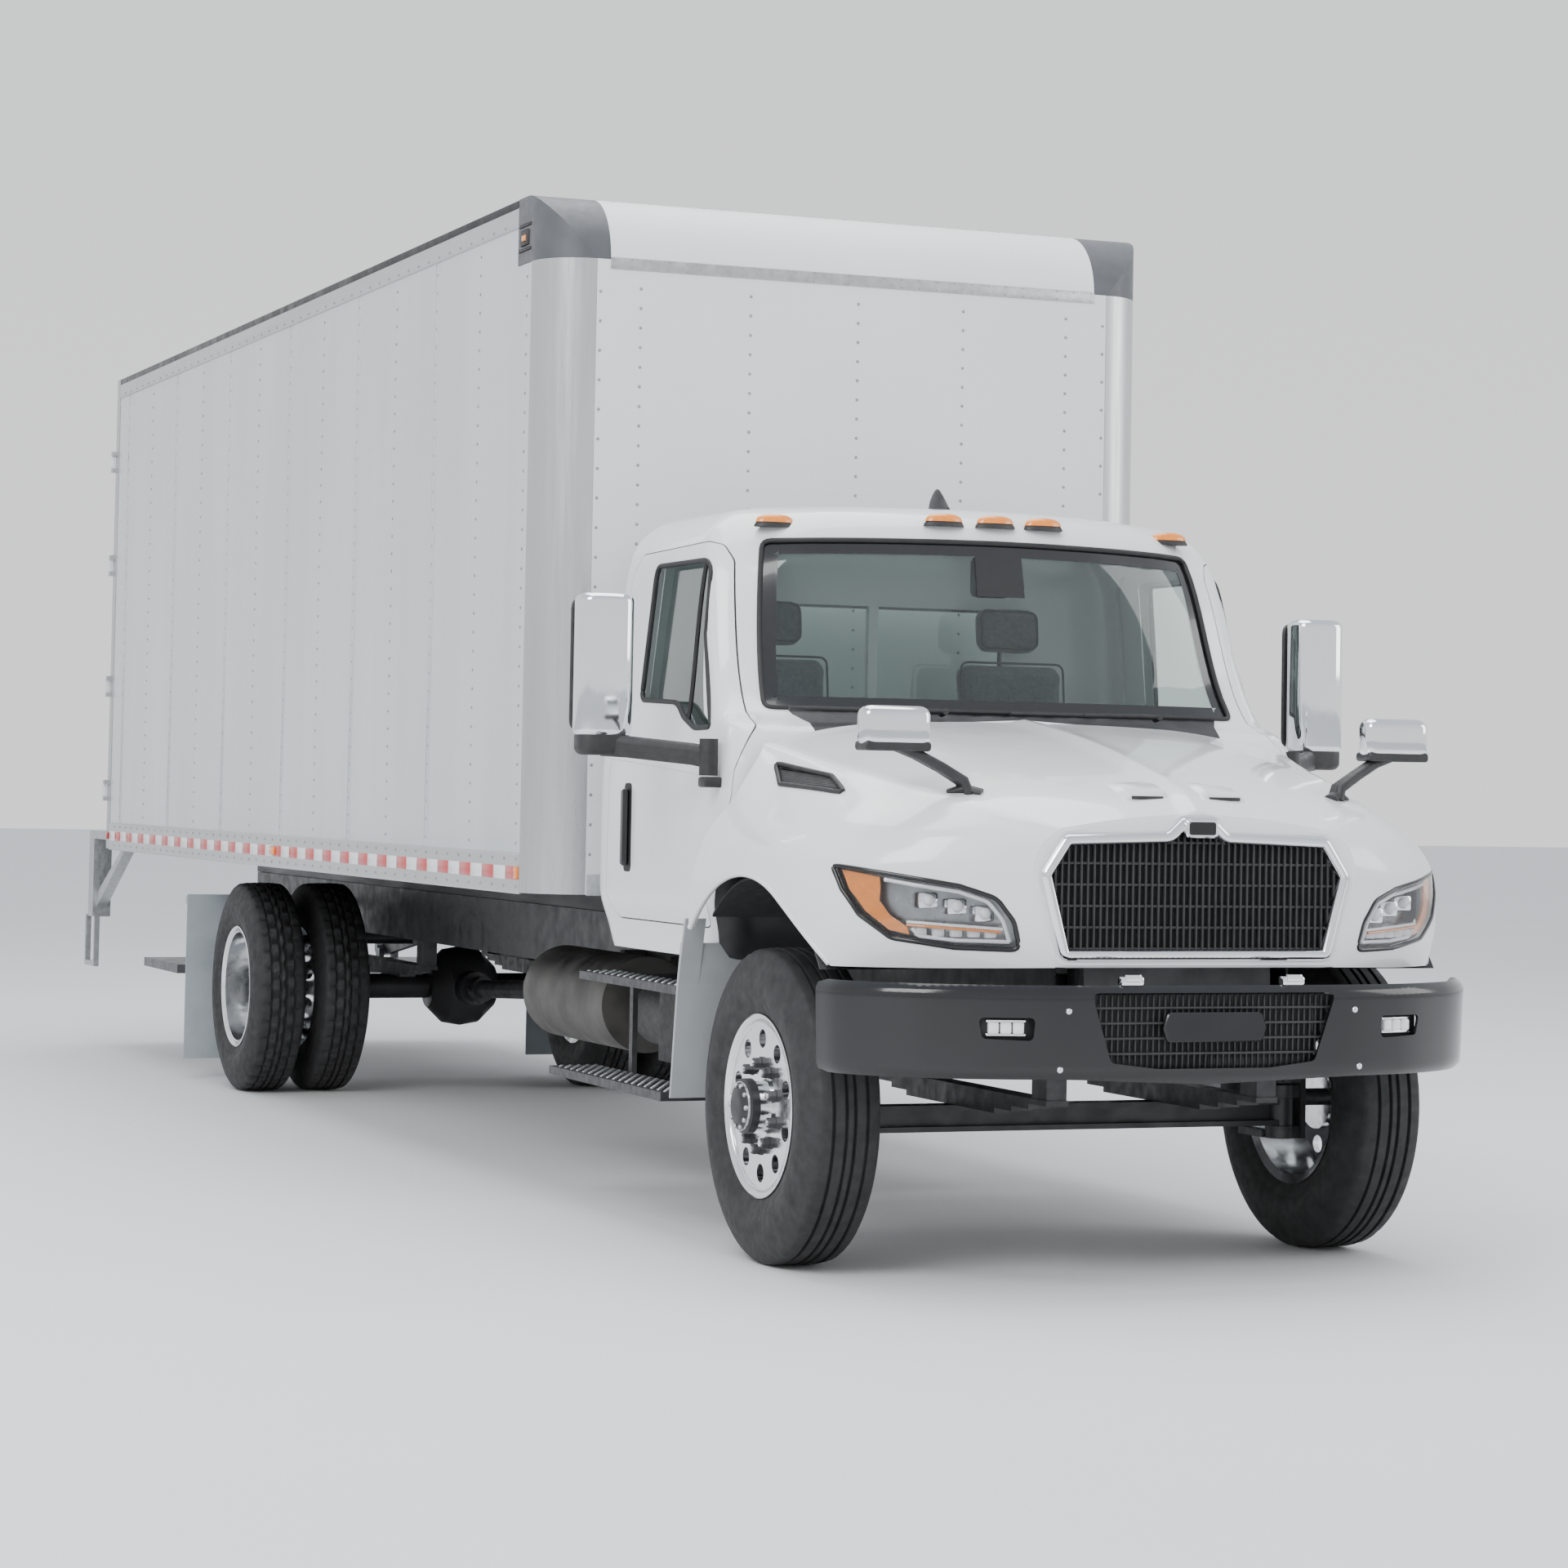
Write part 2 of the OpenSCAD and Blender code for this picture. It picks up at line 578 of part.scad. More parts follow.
module step_tray(lo, hi) difference() {
    block(lo, hi);
    for (y = [lo.y + 40:220:hi.y - 200]) block([lo.x + 30, y, lo.z - 1],
        [hi.x - 30, y + 180, hi.z + 1]);
}
step_out = 1200;
module side_steps() color(dark) in_frame() both_sides() {
    step_tray([step_out - 200, 740, 480], [step_out, 1980, 512]);
    step_tray([step_out - 220, 740, 850], [step_out - 70, 1850, 880]);
    for (y = [960, 1600]) {
        block([rail_x + gap, y, 840], [step_out - 219, y + 36, 880]);
        block([step_out - 219, y, 500], [step_out - 199, y + 36, 860]);
    }
}
arch_z = 600;
arch_r = 700;
arch_rear = 500;
liner_t = 8;
module inner_fenders() color([0.45, 0.47, 0.48]) in_frame() both_sides() {
    difference() {
        translate([0, 0, arch_z]) rod_x(arch_r - 8, 640, 1140, $fn = 180);
        translate([0, 0, arch_z]) rod_x(arch_r - 8 - liner_t, 639, 1141, $fn = 180);
        block([600, -800, -200], [1200, 800, 1010]);
        block([600, 420, 900], [1200, 800, 1300]);
    }
    // Splash panel behind the wheel: full width under the cab, a strip beside it
    along_x(900, step_out) polygon([[552, cab_floor - gap], [568, cab_floor - gap], [600, 900],
        [655, 500], [640, 500], [585, 900]]);
    along_x(1124, step_out) polygon([[520, 1130], [535, 1130], [600, 900], [585, 900]]);
}

// ---- hood ------------------------------------------------------------------------------------

// Each row: distance from the front axle, then (x, z) points from the lower edge to the middle
function hood_rows() = [
    [-965, [[505, 1035], [560, 1200], [585, 1335], [560, 1420], [490, 1478], [250, 1512], [0, 1530]]],
    [-880, [[700, 1030], [760, 1180], [770, 1320], [720, 1430], [600, 1510], [300, 1560], [0, 1585]]],
    [-760, [[900, 1025], [960, 1180], [960, 1330], [900, 1440], [730, 1550], [380, 1600], [0, 1625]]],
    [-560, [[1110, 1022], [1140, 1180], [1120, 1340], [1020, 1470], [820, 1590], [430, 1655],
        [0, 1680]]],
    [-300, [[1190, 1020], [1196, 1200], [1176, 1360], [1060, 1510], [880, 1640], [480, 1715],
        [0, 1738]]],
    [0, [[1198, 1020], [1202, 1240], [1188, 1370], [1090, 1540], [950, 1690], [520, 1770],
        [0, 1790]]],
    [276, [[1200, 1020], [1202, 1240], [1190, 1380], [1125, 1560], [1020, 1745], [550, 1812],
        [0, 1828]]],
    [500, [[1200, 1020], [1202, 1240], [1192, 1380], [1150, 1560], [1060, 1800], [560, 1850],
        [0, 1862]]]];
function hood_outer_ring(row) = let (half = row[1], n = len(half))
    [for (p = half) [p.x, row[0], p.y], for (i = [n - 2:-1:0]) [-half[i].x, row[0], half[i].y]];
hood_t = 30;
function inner_half(half, t) = [for (i = [0:len(half) - 1])
    [half[i].x * (1 - t / 1100), i == 0 ? half[i].y - 200 : half[i].y - t]];
function inner_ring(row, t, y) = let (half = inner_half(row[1], t), n = len(half))
    [for (p = half) [p.x, y, p.y], for (i = [n - 2:-1:0]) [-half[i].x, y, half[i].y]];
module hood_solid() loft(reversed([for (row = hood_rows()) hood_outer_ring(row)]));
module hood_hollow() {
    rows = hood_rows();
    last = len(rows) - 1;
    loft(reversed([for (i = [0:last]) inner_ring(rows[i], hood_t,
        rows[i][0] + (i == 0 ? 40 : i == last ? 20 : 0))]));
}
function lamp_outline() = [[612, 1088], [655, 1215], [930, 1302], [1118, 1342], [1100, 1270],
    [1060, 1190], [975, 1118], [800, 1092]];
module lamp_block() along_y(-1000, -430) polygon(lamp_outline());
function grille_outline() = [[-490, 1052], [490, 1052], [566, 1334], [480, 1462], [70, 1476],
    [0, 1500], [-70, 1476], [-480, 1462], [-566, 1334]];
module hood() color(paint) in_frame() difference() {
    hood_solid();
    hood_hollow();
    // Wheel arches
    both_sides() translate([0, 0, arch_z]) rod_x(arch_r, 600, 1300, $fn = 96);
    // Room for the cab and its doors behind the flares
    block([-1122, 268, 900], [1122, 700, 1793]);
    block([-1300, 340, 1000], [1300, 700, 2000]);
    // Flares end in a swept edge
    both_sides() along_x(1000, 1310) polygon([[268, 1540], [345, 1472], [400, 1410], [421, 1371],
        [425, 1100], [701, 1100], [701, 2001], [268, 2001]]);
    both_sides() along_y(-1001, -429) offset(delta = gap) polygon(lamp_outline());
    along_y(-1000, -880) offset(delta = gap) polygon(grille_outline());
}
module headlamps() color([0.85, 0.88, 0.9]) in_frame() both_sides() intersection() {
    difference() {
        hood_solid();
        hood_hollow();
    }
    lamp_block();
}
module grille_surround() color(bright) in_frame() along_y(-978, -930) difference() {
    polygon(grille_outline());
    offset(delta = -32) polygon(grille_outline());
}
module grille_mesh() color(dark) in_frame() along_y(-966, -940) intersection() {
    offset(delta = -33) polygon(grille_outline());
    union() {
        for (x = [-560:80:560]) translate([x - 6, 1000]) square([12, 520]);
        for (z = [1140:120:1380]) translate([-600, z]) square([1200, 12]);
    }
}
module hood_mirror() {
    foot = [690, -640, 1560];
    bar([foot.x - 20, foot.y - 40, foot.z + 20], [foot.x + 20, foot.y + 40, foot.z - 15], 26, 26);
    bar([foot.x, foot.y, foot.z], [900, -610, 1745], 26, 20);
    translate([0, -600, 0]) hull() {
        translate([820, 0, 1740]) sphere(30, $fn = 16);
        translate([1030, 0, 1740]) sphere(30, $fn = 16);
        translate([830, 0, 1830]) sphere(30, $fn = 16);
        translate([1020, 0, 1830]) sphere(30, $fn = 16);
        translate([925, -50, 1785]) sphere(30, $fn = 16);
    }
}
module hood_mirrors() color(bright) in_frame() both_sides() difference() {
    hood_mirror();
    hood_solid();
}

// ---- cargo box ---------------------------------------------------------------------------------

frame_depth = 80;
post_t = 8;
floor_half = half_w - panel_t - 4;
module box_floor() color([0.55, 0.42, 0.28]) in_frame() {
    // Boards, rounded at the front to clear the corner posts
    translate([0, 0, floor_top - 30]) linear_extrude(30) intersection() {
        translate([-floor_half, box_front + panel_t + gap])
            square([2 * floor_half, box_len - panel_t - frame_depth - 2 * gap]);
        union() {
            translate([-floor_half, box_front + corner_r]) square([2 * floor_half, box_len]);
            translate([-half_w + corner_r, box_front]) square([2 * (half_w - corner_r), box_len]);
            for (s = [-1, 1]) translate([s * (half_w - corner_r), box_front + corner_r])
                circle(corner_r - post_t - gap, $fn = 96);
        }
    }
    count = floor((box_len - 400) / crossmember_pitch);
    for (i = [0:count]) block([-half_w + panel_t + 10, box_front + 200 + i * crossmember_pitch,
        box_bottom], [half_w - panel_t - 10, box_front + 250 + i * crossmember_pitch,
        floor_top - 29]);
    both_sides() block([rail_x - 70, box_front + 60, frame_top + gap],
        [rail_x - 10, box_rear - frame_depth - gap, box_bottom + 1]);
}
cap_w = corner_r + 55;
cap_back = box_front + 375;
module box_sides() color([0.82, 0.84, 0.85]) in_frame() both_sides() difference() {
    block([half_w - panel_t, box_front + corner_r + gap, box_bottom + bottom_rail_h + gap],
        [half_w - 3, box_rear - frame_depth - gap, box_top - top_rail_h - gap]);
    block([0, box_front, box_top - nose_r - gap], [half_w, cap_back + gap, box_top]);
}
module box_front() color([0.88, 0.89, 0.90]) in_frame()
    block([-half_w + corner_r + gap, box_front, box_bottom],
        [half_w - corner_r - gap, box_front + panel_t, box_top - nose_r - gap]);
roof_t = 25;
module box_roof() color([0.90, 0.91, 0.92]) in_frame() {
    block([-half_w + 45, cap_back + gap, box_top - roof_t],
        [half_w - 45, box_rear - frame_depth - gap, box_top]);
    block([-half_w + cap_w + gap, box_front + nose_r, box_top - roof_t],
        [half_w - cap_w - gap, cap_back + gap + 1, box_top]);
    // Curved nose over the front wall
    intersection() {
        translate([0, box_front + nose_r, box_top - nose_r]) difference() {
            rod_x(nose_r, -half_w + cap_w + gap, half_w - cap_w - gap);
            rod_x(nose_r - panel_t, -half_w, half_w);
        }
        block([-half_w, box_front, box_top - nose_r], [half_w, box_front + nose_r, box_top]);
    }
}
module corner_posts() color([0.72, 0.73, 0.74]) in_frame() both_sides() intersection() {
    translate([half_w - corner_r, box_front + corner_r, box_bottom]) difference() {
        cylinder(r = corner_r, h = box_top - nose_r - box_bottom - gap, $fn = 96);
        translate([0, 0, -1]) cylinder(r = corner_r - post_t, h = box_top, $fn = 96);
    }
    block([half_w - corner_r, box_front, 0], [half_w, box_front + corner_r, box_top]);
}
module cap_solid(t) intersection() {
    block([half_w - cap_w, box_front, box_top - nose_r], [half_w - t, cap_back, box_top - t]);
    union() {
        translate([half_w - corner_r, box_front + corner_r, 0])
            cylinder(r = corner_r - t, h = box_top, $fn = 96);
        block([0, box_front + t, 0], [half_w - corner_r, box_rear, box_top]);
        block([0, box_front + corner_r, 0], [half_w, box_rear, box_top]);
    }
    union() {
        translate([0, box_front + nose_r, box_top - nose_r]) rod_x(nose_r - t, 0, half_w + 1,
            $fn = 96);
        block([0, box_front + nose_r, 0], [half_w + 1, box_rear, box_top]);
    }
}
module corner_caps() color([0.30, 0.31, 0.33]) in_frame() both_sides() difference() {
    cap_solid(0);
    translate([-0.5, 1, -1]) cap_solid(12);
}
module side_rails() color([0.75, 0.76, 0.77]) in_frame() both_sides() {
    y0 = box_front + corner_r + gap;
    y1 = box_rear - frame_depth - gap;
    block([half_w - 18, y0, box_bottom], [half_w, y1, box_bottom + bottom_rail_h]);
    along_y(cap_back + gap, y1) polygon([[half_w, box_top - top_rail_h],
        [half_w, box_top - 30], [half_w - 30, box_top], [half_w - 44, box_top],
        [half_w - 44, box_top - 24], [half_w - 19, box_top - 40],
        [half_w - 19, box_top - top_rail_h]]);
}

post_w = 125;
header_h = 276;
sill_h = 150;
door_t = 40;
leaf_gap = 4;
hinge_x = half_w + 14.5;
hinge_y = box_rear + 16;
leaf_y = box_rear - 3;
hinge_rows = [1500, 2100, 2800, 3400];
module rear_frame() color(bright) in_frame() {
    difference() {
        block([-half_w, box_rear - frame_depth, box_bottom], [half_w, box_rear, box_top]);
        block([-half_w + post_w, box_rear - frame_depth - 1, box_bottom + sill_h],
            [half_w - post_w, box_rear + 1, box_top - header_h]);
    }
    // Hinge pins and their brackets
    both_sides() for (z = hinge_rows) {
        translate([hinge_x, hinge_y, z - 60]) cylinder(r = 6, h = 120);
        for (dz = [-60, 36]) block([half_w - 12, box_rear - 20, z + dz],
            [hinge_x + 8, hinge_y + 8, z + dz + 24]);
    }
}
rod_x_at = 150;
rod_y_at = leaf_y + 22;
rod_r = 13;
guide_rows = [1400, 2500, 3500];
module rear_door_leaf() {
    x1 = half_w - post_w - leaf_gap;
    difference() {
        union() {
            block([leaf_gap / 2, leaf_y - door_t, box_bottom + sill_h + leaf_gap],
                [x1, leaf_y, box_top - header_h - leaf_gap]);
            for (z = hinge_rows) {
                block([x1 - 200, leaf_y - 1, z - 34], [hinge_x, hinge_y - 5, z + 34]);
                translate([hinge_x, hinge_y, z - 34]) cylinder(r = 13, h = 68);
            }
            // Guides of the lock rod
            for (z = guide_rows) block([rod_x_at - 26, leaf_y - 1, z],
                [rod_x_at + 26, rod_y_at + 20, z + 24]);
        }
        translate([rod_x_at, rod_y_at, 0]) cylinder(r = rod_r + fit, h = box_top);
        for (z = hinge_rows) {
            translate([hinge_x, hinge_y, z - 40]) cylinder(r = 6 + fit, h = 80);
            block([x1 + leaf_gap / 2, leaf_y - 2, z - 40], [hinge_x, box_rear + gap, z + 40]);
        }
    }
}
module rear_door_left() color([0.88, 0.89, 0.90]) in_frame() rear_door_leaf();
module rear_door_right() color([0.88, 0.89, 0.90]) in_frame() mirror_x() rear_door_leaf();
module lock_rod() translate([rod_x_at, rod_y_at, 0]) {
    translate([0, 0, box_bottom + sill_h + 20])
        cylinder(r = rod_r, h = box_top - header_h - box_bottom - sill_h - 40);
    block([0, 2, 1990], [420, 14, 2030]);
    translate([0, 0, 1980]) cylinder(r = 20, h = 60);
}
module lock_rod_left() color(bright) in_frame() lock_rod();
module lock_rod_right() color(bright) in_frame() mirror_x() lock_rod();

flap_y = wheelbase + tyre_r + 173;
module mud_flaps() color([0.66, 0.69, 0.72]) in_frame() both_sides() {
    block([600, flap_y, 110], [1285, flap_y + 10, 970]);
    block([rail_x + gap, flap_y + 11, 920], [1285, flap_y + 41, 960]);
    block([700, flap_y + 9, 930], [1180, flap_y + 12, 950]);
}

// ---- liftgate --------------------------------------------------------------------------------------

lift_x = 560;
pivot_pin_r = 25;
module lift_mount() color(dark) in_frame() both_sides() {
    along_x(rail_x + gap, lift_x - 45) polygon([[lift_pivot.x - 160, rail_bottom + 120],
        [lift_pivot.x + 160, rail_bottom + 120], [lift_pivot.x + 60, lift_pivot.y - 80],
        [lift_pivot.x - 60, lift_pivot.y - 80]]);
    translate([0, lift_pivot.x, lift_pivot.y]) rod_x(pivot_pin_r, lift_x - 46, lift_x + 45);
}
module lift_arms() color(dark) in_frame() translate([0, lift_pivot.x, lift_pivot.y])
    rotate([lift_rest, 0, 0]) {
        both_sides() difference() {
            union() {
                rod_x(55, lift_x - 20, lift_x + 20);
                translate([0, lift_arm_len, 0]) rod_x(arm_eye_r, lift_x - 20, lift_x + 20);
                block([lift_x - 20, 0, -46], [lift_x + 20, lift_arm_len, 46]);
            }
            rod_x(pivot_pin_r + fit, lift_x - 50, lift_x + 50);
            translate([0, lift_arm_len, 0]) rod_x(20 + fit, lift_x - 50, lift_x + 50);
        }
        translate([0, 460, 0]) rod_x(38, -lift_x, lift_x);
    }
platform_t = 50;
platform_drop = 56;
module lift_platform() color([0.35, 0.36, 0.38]) in_frame() translate([0, lift_end.x, lift_end.y]) {
    block([-platform_w / 2, -platform_len - 30, -platform_drop - platform_t],
        [platform_w / 2, -30, -platform_drop]);
    both_sides() {
        rod_x(20, lift_x - 60, lift_x + 60);
        for (x = [lift_x - 60, lift_x + 30]) {
            rod_x(30, x, x + 30);
            block([x, -80, -platform_drop - 20], [x + 30, 0, 0]);
        }
    }
}
step_x = half_w - 105;
module dock_steps() color([0.62, 0.64, 0.64]) in_frame() {
    // Sill extension behind the box floor
    block([-half_w, box_rear + gap, 1215], [half_w, box_rear + extension_len, 1262]);
    both_sides() {
        block([step_x, box_rear + extension_len - 130, 760],
            [half_w, box_rear + extension_len, 1216]);
        // Brace to the box floor
        along_x(step_x + 20, step_x + 80) polygon([[box_rear - 390, 1160], [box_rear - 300, 1160],
            [box_rear + extension_len - 129, 900], [box_rear + extension_len - 129, 820]]);
        // Foot loop
        along_x(half_w - 40, half_w - 10) difference() {
            translate([box_rear + extension_len - 150, 470]) square([270, 300]);
            translate([box_rear + extension_len - 122, 498]) square([214, 262]);
        }
    }
}

chassis_frame();
powertrain();
fuel_tank();
battery_box();
exhaust();
front_axle();
leaf_springs();
rear_axle();
bumper();
cab_shell();
windscreen();
dashboard();
seat_bases();
seat_pads();
side_steps();
inner_fenders();
box_floor();
box_sides();
box_front();
box_roof();
corner_posts();
corner_caps();
side_rails();
rear_frame();
mud_flaps();
lift_mount();
dock_steps();
hood();
grille_surround();
grille_mesh();
headlamps();
hood_mirrors();
door_left();
door_right();
window_left();
window_right();
mirror_left();
mirror_right();
handle_left();
handle_right();
knuckle_left();
knuckle_right();
front_tyre_left();
front_rim_left();
front_tyre_right();
front_rim_right();
rear_tyres_left();
rear_rims_left();
rear_tyres_right();
rear_rims_right();
driveshaft();
steering_wheel();
lift_arms();
lift_platform();
rear_door_left();
rear_door_right();
lock_rod_left();
lock_rod_right();
wiper_left();
wiper_right();
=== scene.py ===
import json
import math

import bmesh
import bpy
import numpy as np
from mathutils import Matrix, Vector
from mathutils.geometry import delaunay_2d_cdt


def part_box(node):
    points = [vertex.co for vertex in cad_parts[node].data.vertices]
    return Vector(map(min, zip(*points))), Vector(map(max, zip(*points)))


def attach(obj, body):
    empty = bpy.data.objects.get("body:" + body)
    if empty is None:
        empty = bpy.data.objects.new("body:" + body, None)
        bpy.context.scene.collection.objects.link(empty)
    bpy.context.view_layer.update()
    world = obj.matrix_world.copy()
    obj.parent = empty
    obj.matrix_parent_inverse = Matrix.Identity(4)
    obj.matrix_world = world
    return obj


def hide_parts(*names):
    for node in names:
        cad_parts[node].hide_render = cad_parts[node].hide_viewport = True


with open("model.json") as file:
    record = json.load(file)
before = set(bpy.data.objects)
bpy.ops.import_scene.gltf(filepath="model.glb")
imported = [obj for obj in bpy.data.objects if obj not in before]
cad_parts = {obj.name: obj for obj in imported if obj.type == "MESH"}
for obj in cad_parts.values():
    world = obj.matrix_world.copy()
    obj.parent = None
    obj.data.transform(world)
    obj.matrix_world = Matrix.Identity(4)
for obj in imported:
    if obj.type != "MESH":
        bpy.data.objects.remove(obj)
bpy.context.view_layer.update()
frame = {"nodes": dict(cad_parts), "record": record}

# Pieces are drawn in millimetres about the front axle: +x is the driver's side, +y the rear
_low, _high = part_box("front_tyre_left")
AXLE_Y = (_low.y + _high.y) / 2
_low, _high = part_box("rear_tyres_left")
WHEELBASE = ((_low.y + _high.y) / 2 - AXLE_Y) * 1000
WHEEL_Z = 527.0
BOX_FRONT = (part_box("box_front")[0].y - AXLE_Y) * 1000
BOX_LENGTH = 7925
BOX_REAR = BOX_FRONT + BOX_LENGTH
HALF_W = 1295.5
BOX_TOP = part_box("box_roof")[1].z * 1000
BOX_BOTTOM = 1166.0
SIDES = ((1, "left"), (-1, "right"))
PANEL_RIVETS = 609.6    # between the rows up a side panel
RAIL_RIVETS = 152.4     # along a side rail
BEVEL = 0.29            # how far in the middle of a rounded corner lies, as a share of its radius


def place(p):
    return Vector((p[0] / 1000, AXLE_Y + p[1] / 1000, p[2] / 1000))


# ---- materials -----------------------------------------------------------------------


class Mat:
    """A node material: noise in object space varies its colour, roughness and bump."""

    def __init__(self, name, color, rough, metal=0.0, **shader):
        self.m = bpy.data.materials.new(name)
        self.m.use_nodes = True
        self.t = self.m.node_tree
        self.b = self.t.nodes["Principled BSDF"]
        self.b.inputs["Base Color"].default_value = (*color, 1)
        self.b.inputs["Roughness"].default_value = rough
        self.b.inputs["Metallic"].default_value = metal
        self.color = color
        self.rough = rough
        for key, value in shader.items():
            self.b.inputs[key.replace("_", " ")].default_value = value
        self.at = self.node("ShaderNodeTexCoord").outputs["Object"]

    def node(self, kind, **values):
        n = self.t.nodes.new(kind)
        for key, value in values.items():
            if key in n.inputs.keys():
                n.inputs[key].default_value = value
            else:
                setattr(n, key, value)
        return n

    def link(self, a, b):
        self.t.links.new(a, b)
        return self

    def noise(self, scale, detail=4.0, stretch=(1, 1, 1)):
        m = self.node("ShaderNodeMapping")
        m.inputs["Scale"].default_value = stretch
        self.link(self.at, m.inputs["Vector"])
        n = self.node("ShaderNodeTexNoise", Scale=scale, Detail=detail)
        self.link(m.outputs["Vector"], n.inputs["Vector"])
        return n.outputs["Fac"]

    def vary(self, scale, amount, stretch=(1, 1, 1)):
        """Lightens and darkens the colour by up to amount."""
        r = self.node("ShaderNodeValToRGB")
        for e, f in zip(r.color_ramp.elements, (1 - amount, 1 + amount)):
            e.color = (*[min(1, c * f) for c in self.color], 1)
        r.color_ramp.elements[0].position = 0.3
        r.color_ramp.elements[1].position = 0.7
        self.link(self.noise(scale, 5, stretch), r.inputs["Fac"])
        self.link(r.outputs["Color"], self.b.inputs["Base Color"])
        return self

    def roughen(self, scale, amount, stretch=(1, 1, 1)):
        r = self.node("ShaderNodeMapRange")
        r.inputs["From Min"].default_value = 0.3
        r.inputs["From Max"].default_value = 0.7
        r.inputs["To Min"].default_value = max(0.02, self.rough - amount)
        r.inputs["To Max"].default_value = self.rough + amount
        self.link(self.noise(scale, 4, stretch), r.inputs["Value"])
        self.link(r.outputs["Result"], self.b.inputs["Roughness"])
        return self

    def bump(self, scale, distance, strength=0.4, stretch=(1, 1, 1), height=None):
        n = self.node("ShaderNodeBump", Strength=strength, Distance=distance)
        self.link(height or self.noise(scale, 3, stretch), n.inputs["Height"])
        self.link(n.outputs["Normal"], self.b.inputs["Normal"])
        return self


def wave_height(m, scale, axis="Z"):
    w = m.node("ShaderNodeTexWave", bands_direction=axis, Scale=scale)
    m.link(m.at, w.inputs["Vector"])
    return w.outputs["Fac"]


M = {}


def add(name, mat):
    M[name] = mat.m
    return mat


add("white_paint", Mat("white_paint", (0.80, 0.82, 0.82), 0.22, Coat_Weight=0.7, Coat_Roughness=0.06)
    ).vary(2.5, 0.012).roughen(6, 0.03).bump(900, 0.0002, 0.08)
# The vertical streaks that vary the side panel colour are painted reflections of the surroundings on the
# sheet.
add("side_panel", Mat("side_panel", (0.52, 0.56, 0.57), 0.2, Coat_Weight=0.5, Coat_Roughness=0.06)
    ).vary(1.6, 0.10, (1, 1, 0.12)).roughen(3, 0.06, (1, 1, 0.2)).bump(1.6, 0.006, 0.4, (1, 1, 0.1))
add("front_panel", Mat("front_panel", (0.72, 0.745, 0.75), 0.38)
    ).vary(1.5, 0.02).roughen(4, 0.05).bump(1.3, 0.003, 0.3)
add("roof_sheet", Mat("roof_sheet", (0.80, 0.82, 0.82), 0.4)).vary(1.5, 0.03).bump(2, 0.002, 0.3)
add("door_panel", Mat("door_panel", (0.74, 0.76, 0.77), 0.35)).vary(2, 0.02).bump(3, 0.001, 0.3)
add("gloss_black", Mat("gloss_black", (0.006, 0.006, 0.007), 0.16, Coat_Weight=0.2,
    Coat_Roughness=0.05)).vary(6, 0.2).roughen(12, 0.04).bump(500, 0.0002, 0.1)
add("black_plastic", Mat("black_plastic", (0.022, 0.022, 0.023), 0.5)
    ).vary(25, 0.25).roughen(40, 0.08).bump(700, 0.0006, 0.5)
add("cap_plastic", Mat("cap_plastic", (0.085, 0.09, 0.10), 0.42)
    ).vary(12, 0.12).roughen(30, 0.08).bump(450, 0.0007, 0.5)
add("dash_plastic", Mat("dash_plastic", (0.13, 0.135, 0.14), 0.55)
    ).vary(15, 0.1).roughen(30, 0.06).bump(600, 0.0008, 0.5)
add("chrome", Mat("chrome", (0.82, 0.83, 0.85), 0.06, 1.0)).vary(8, 0.02).roughen(20, 0.025)
add("polished_aluminium", Mat("polished_aluminium", (0.78, 0.79, 0.80), 0.17, 1.0,
    Anisotropic=0.3)).vary(20, 0.05).roughen(45, 0.06).bump(300, 0.0001, 0.1)
add("rail_aluminium", Mat("rail_aluminium", (0.60, 0.61, 0.62), 0.34, 1.0)
    ).vary(4, 0.05, (1, 0.1, 1)).roughen(30, 0.08, (1, 0.05, 1)).bump(200, 0.0002, 0.2, (1, 0.03, 1))
add("brushed_post", Mat("brushed_post", (0.56, 0.57, 0.58), 0.3, 1.0, Anisotropic=0.5)
    ).vary(5, 0.06, (1, 1, 0.15)).roughen(60, 0.08, (1, 1, 0.04)).bump(260, 0.0002, 0.25, (1, 1, 0.02))
add("rear_steel", Mat("rear_steel", (0.52, 0.53, 0.54), 0.32, 1.0)
    ).vary(5, 0.05, (1, 1, 0.2)).roughen(50, 0.08, (1, 1, 0.05))
add("galvanised_steel", Mat("galvanised_steel", (0.47, 0.485, 0.49), 0.42, 0.9)
    ).vary(35, 0.12).roughen(50, 0.1).bump(120, 0.0004, 0.25)
add("exhaust_steel", Mat("exhaust_steel", (0.11, 0.105, 0.10), 0.55, 0.8)
    ).vary(6, 0.3).roughen(12, 0.12).bump(150, 0.0005, 0.3)
add("spring_steel", Mat("spring_steel", (0.06, 0.06, 0.062), 0.5, 0.6)
    ).vary(18, 0.3).roughen(20, 0.12).bump(200, 0.0005, 0.3)
add("chassis_black", Mat("chassis_black", (0.020, 0.020, 0.022), 0.42)
    ).vary(8, 0.3).roughen(12, 0.12).bump(180, 0.0006, 0.3)
add("engine_metal", Mat("engine_metal", (0.16, 0.165, 0.17), 0.55, 0.6)
    ).vary(10, 0.2).roughen(15, 0.1).bump(90, 0.0012, 0.4)
add("step_metal", Mat("step_metal", (0.045, 0.045, 0.048), 0.45, 0.3)
    ).vary(20, 0.3).roughen(25, 0.12).bump(250, 0.0006, 0.4)
add("platform_steel", Mat("platform_steel", (0.13, 0.135, 0.14), 0.45, 0.5)
    ).vary(10, 0.2).roughen(20, 0.1).bump(160, 0.0008, 0.4)
add("seat_steel", Mat("seat_steel", (0.03, 0.03, 0.032), 0.4)).vary(10, 0.2).bump(400, 0.0004, 0.3)
add("flap_rubber", Mat("flap_rubber", (0.36, 0.40, 0.43), 0.6)
    ).vary(6, 0.1).roughen(15, 0.08).bump(220, 0.0008, 0.4)
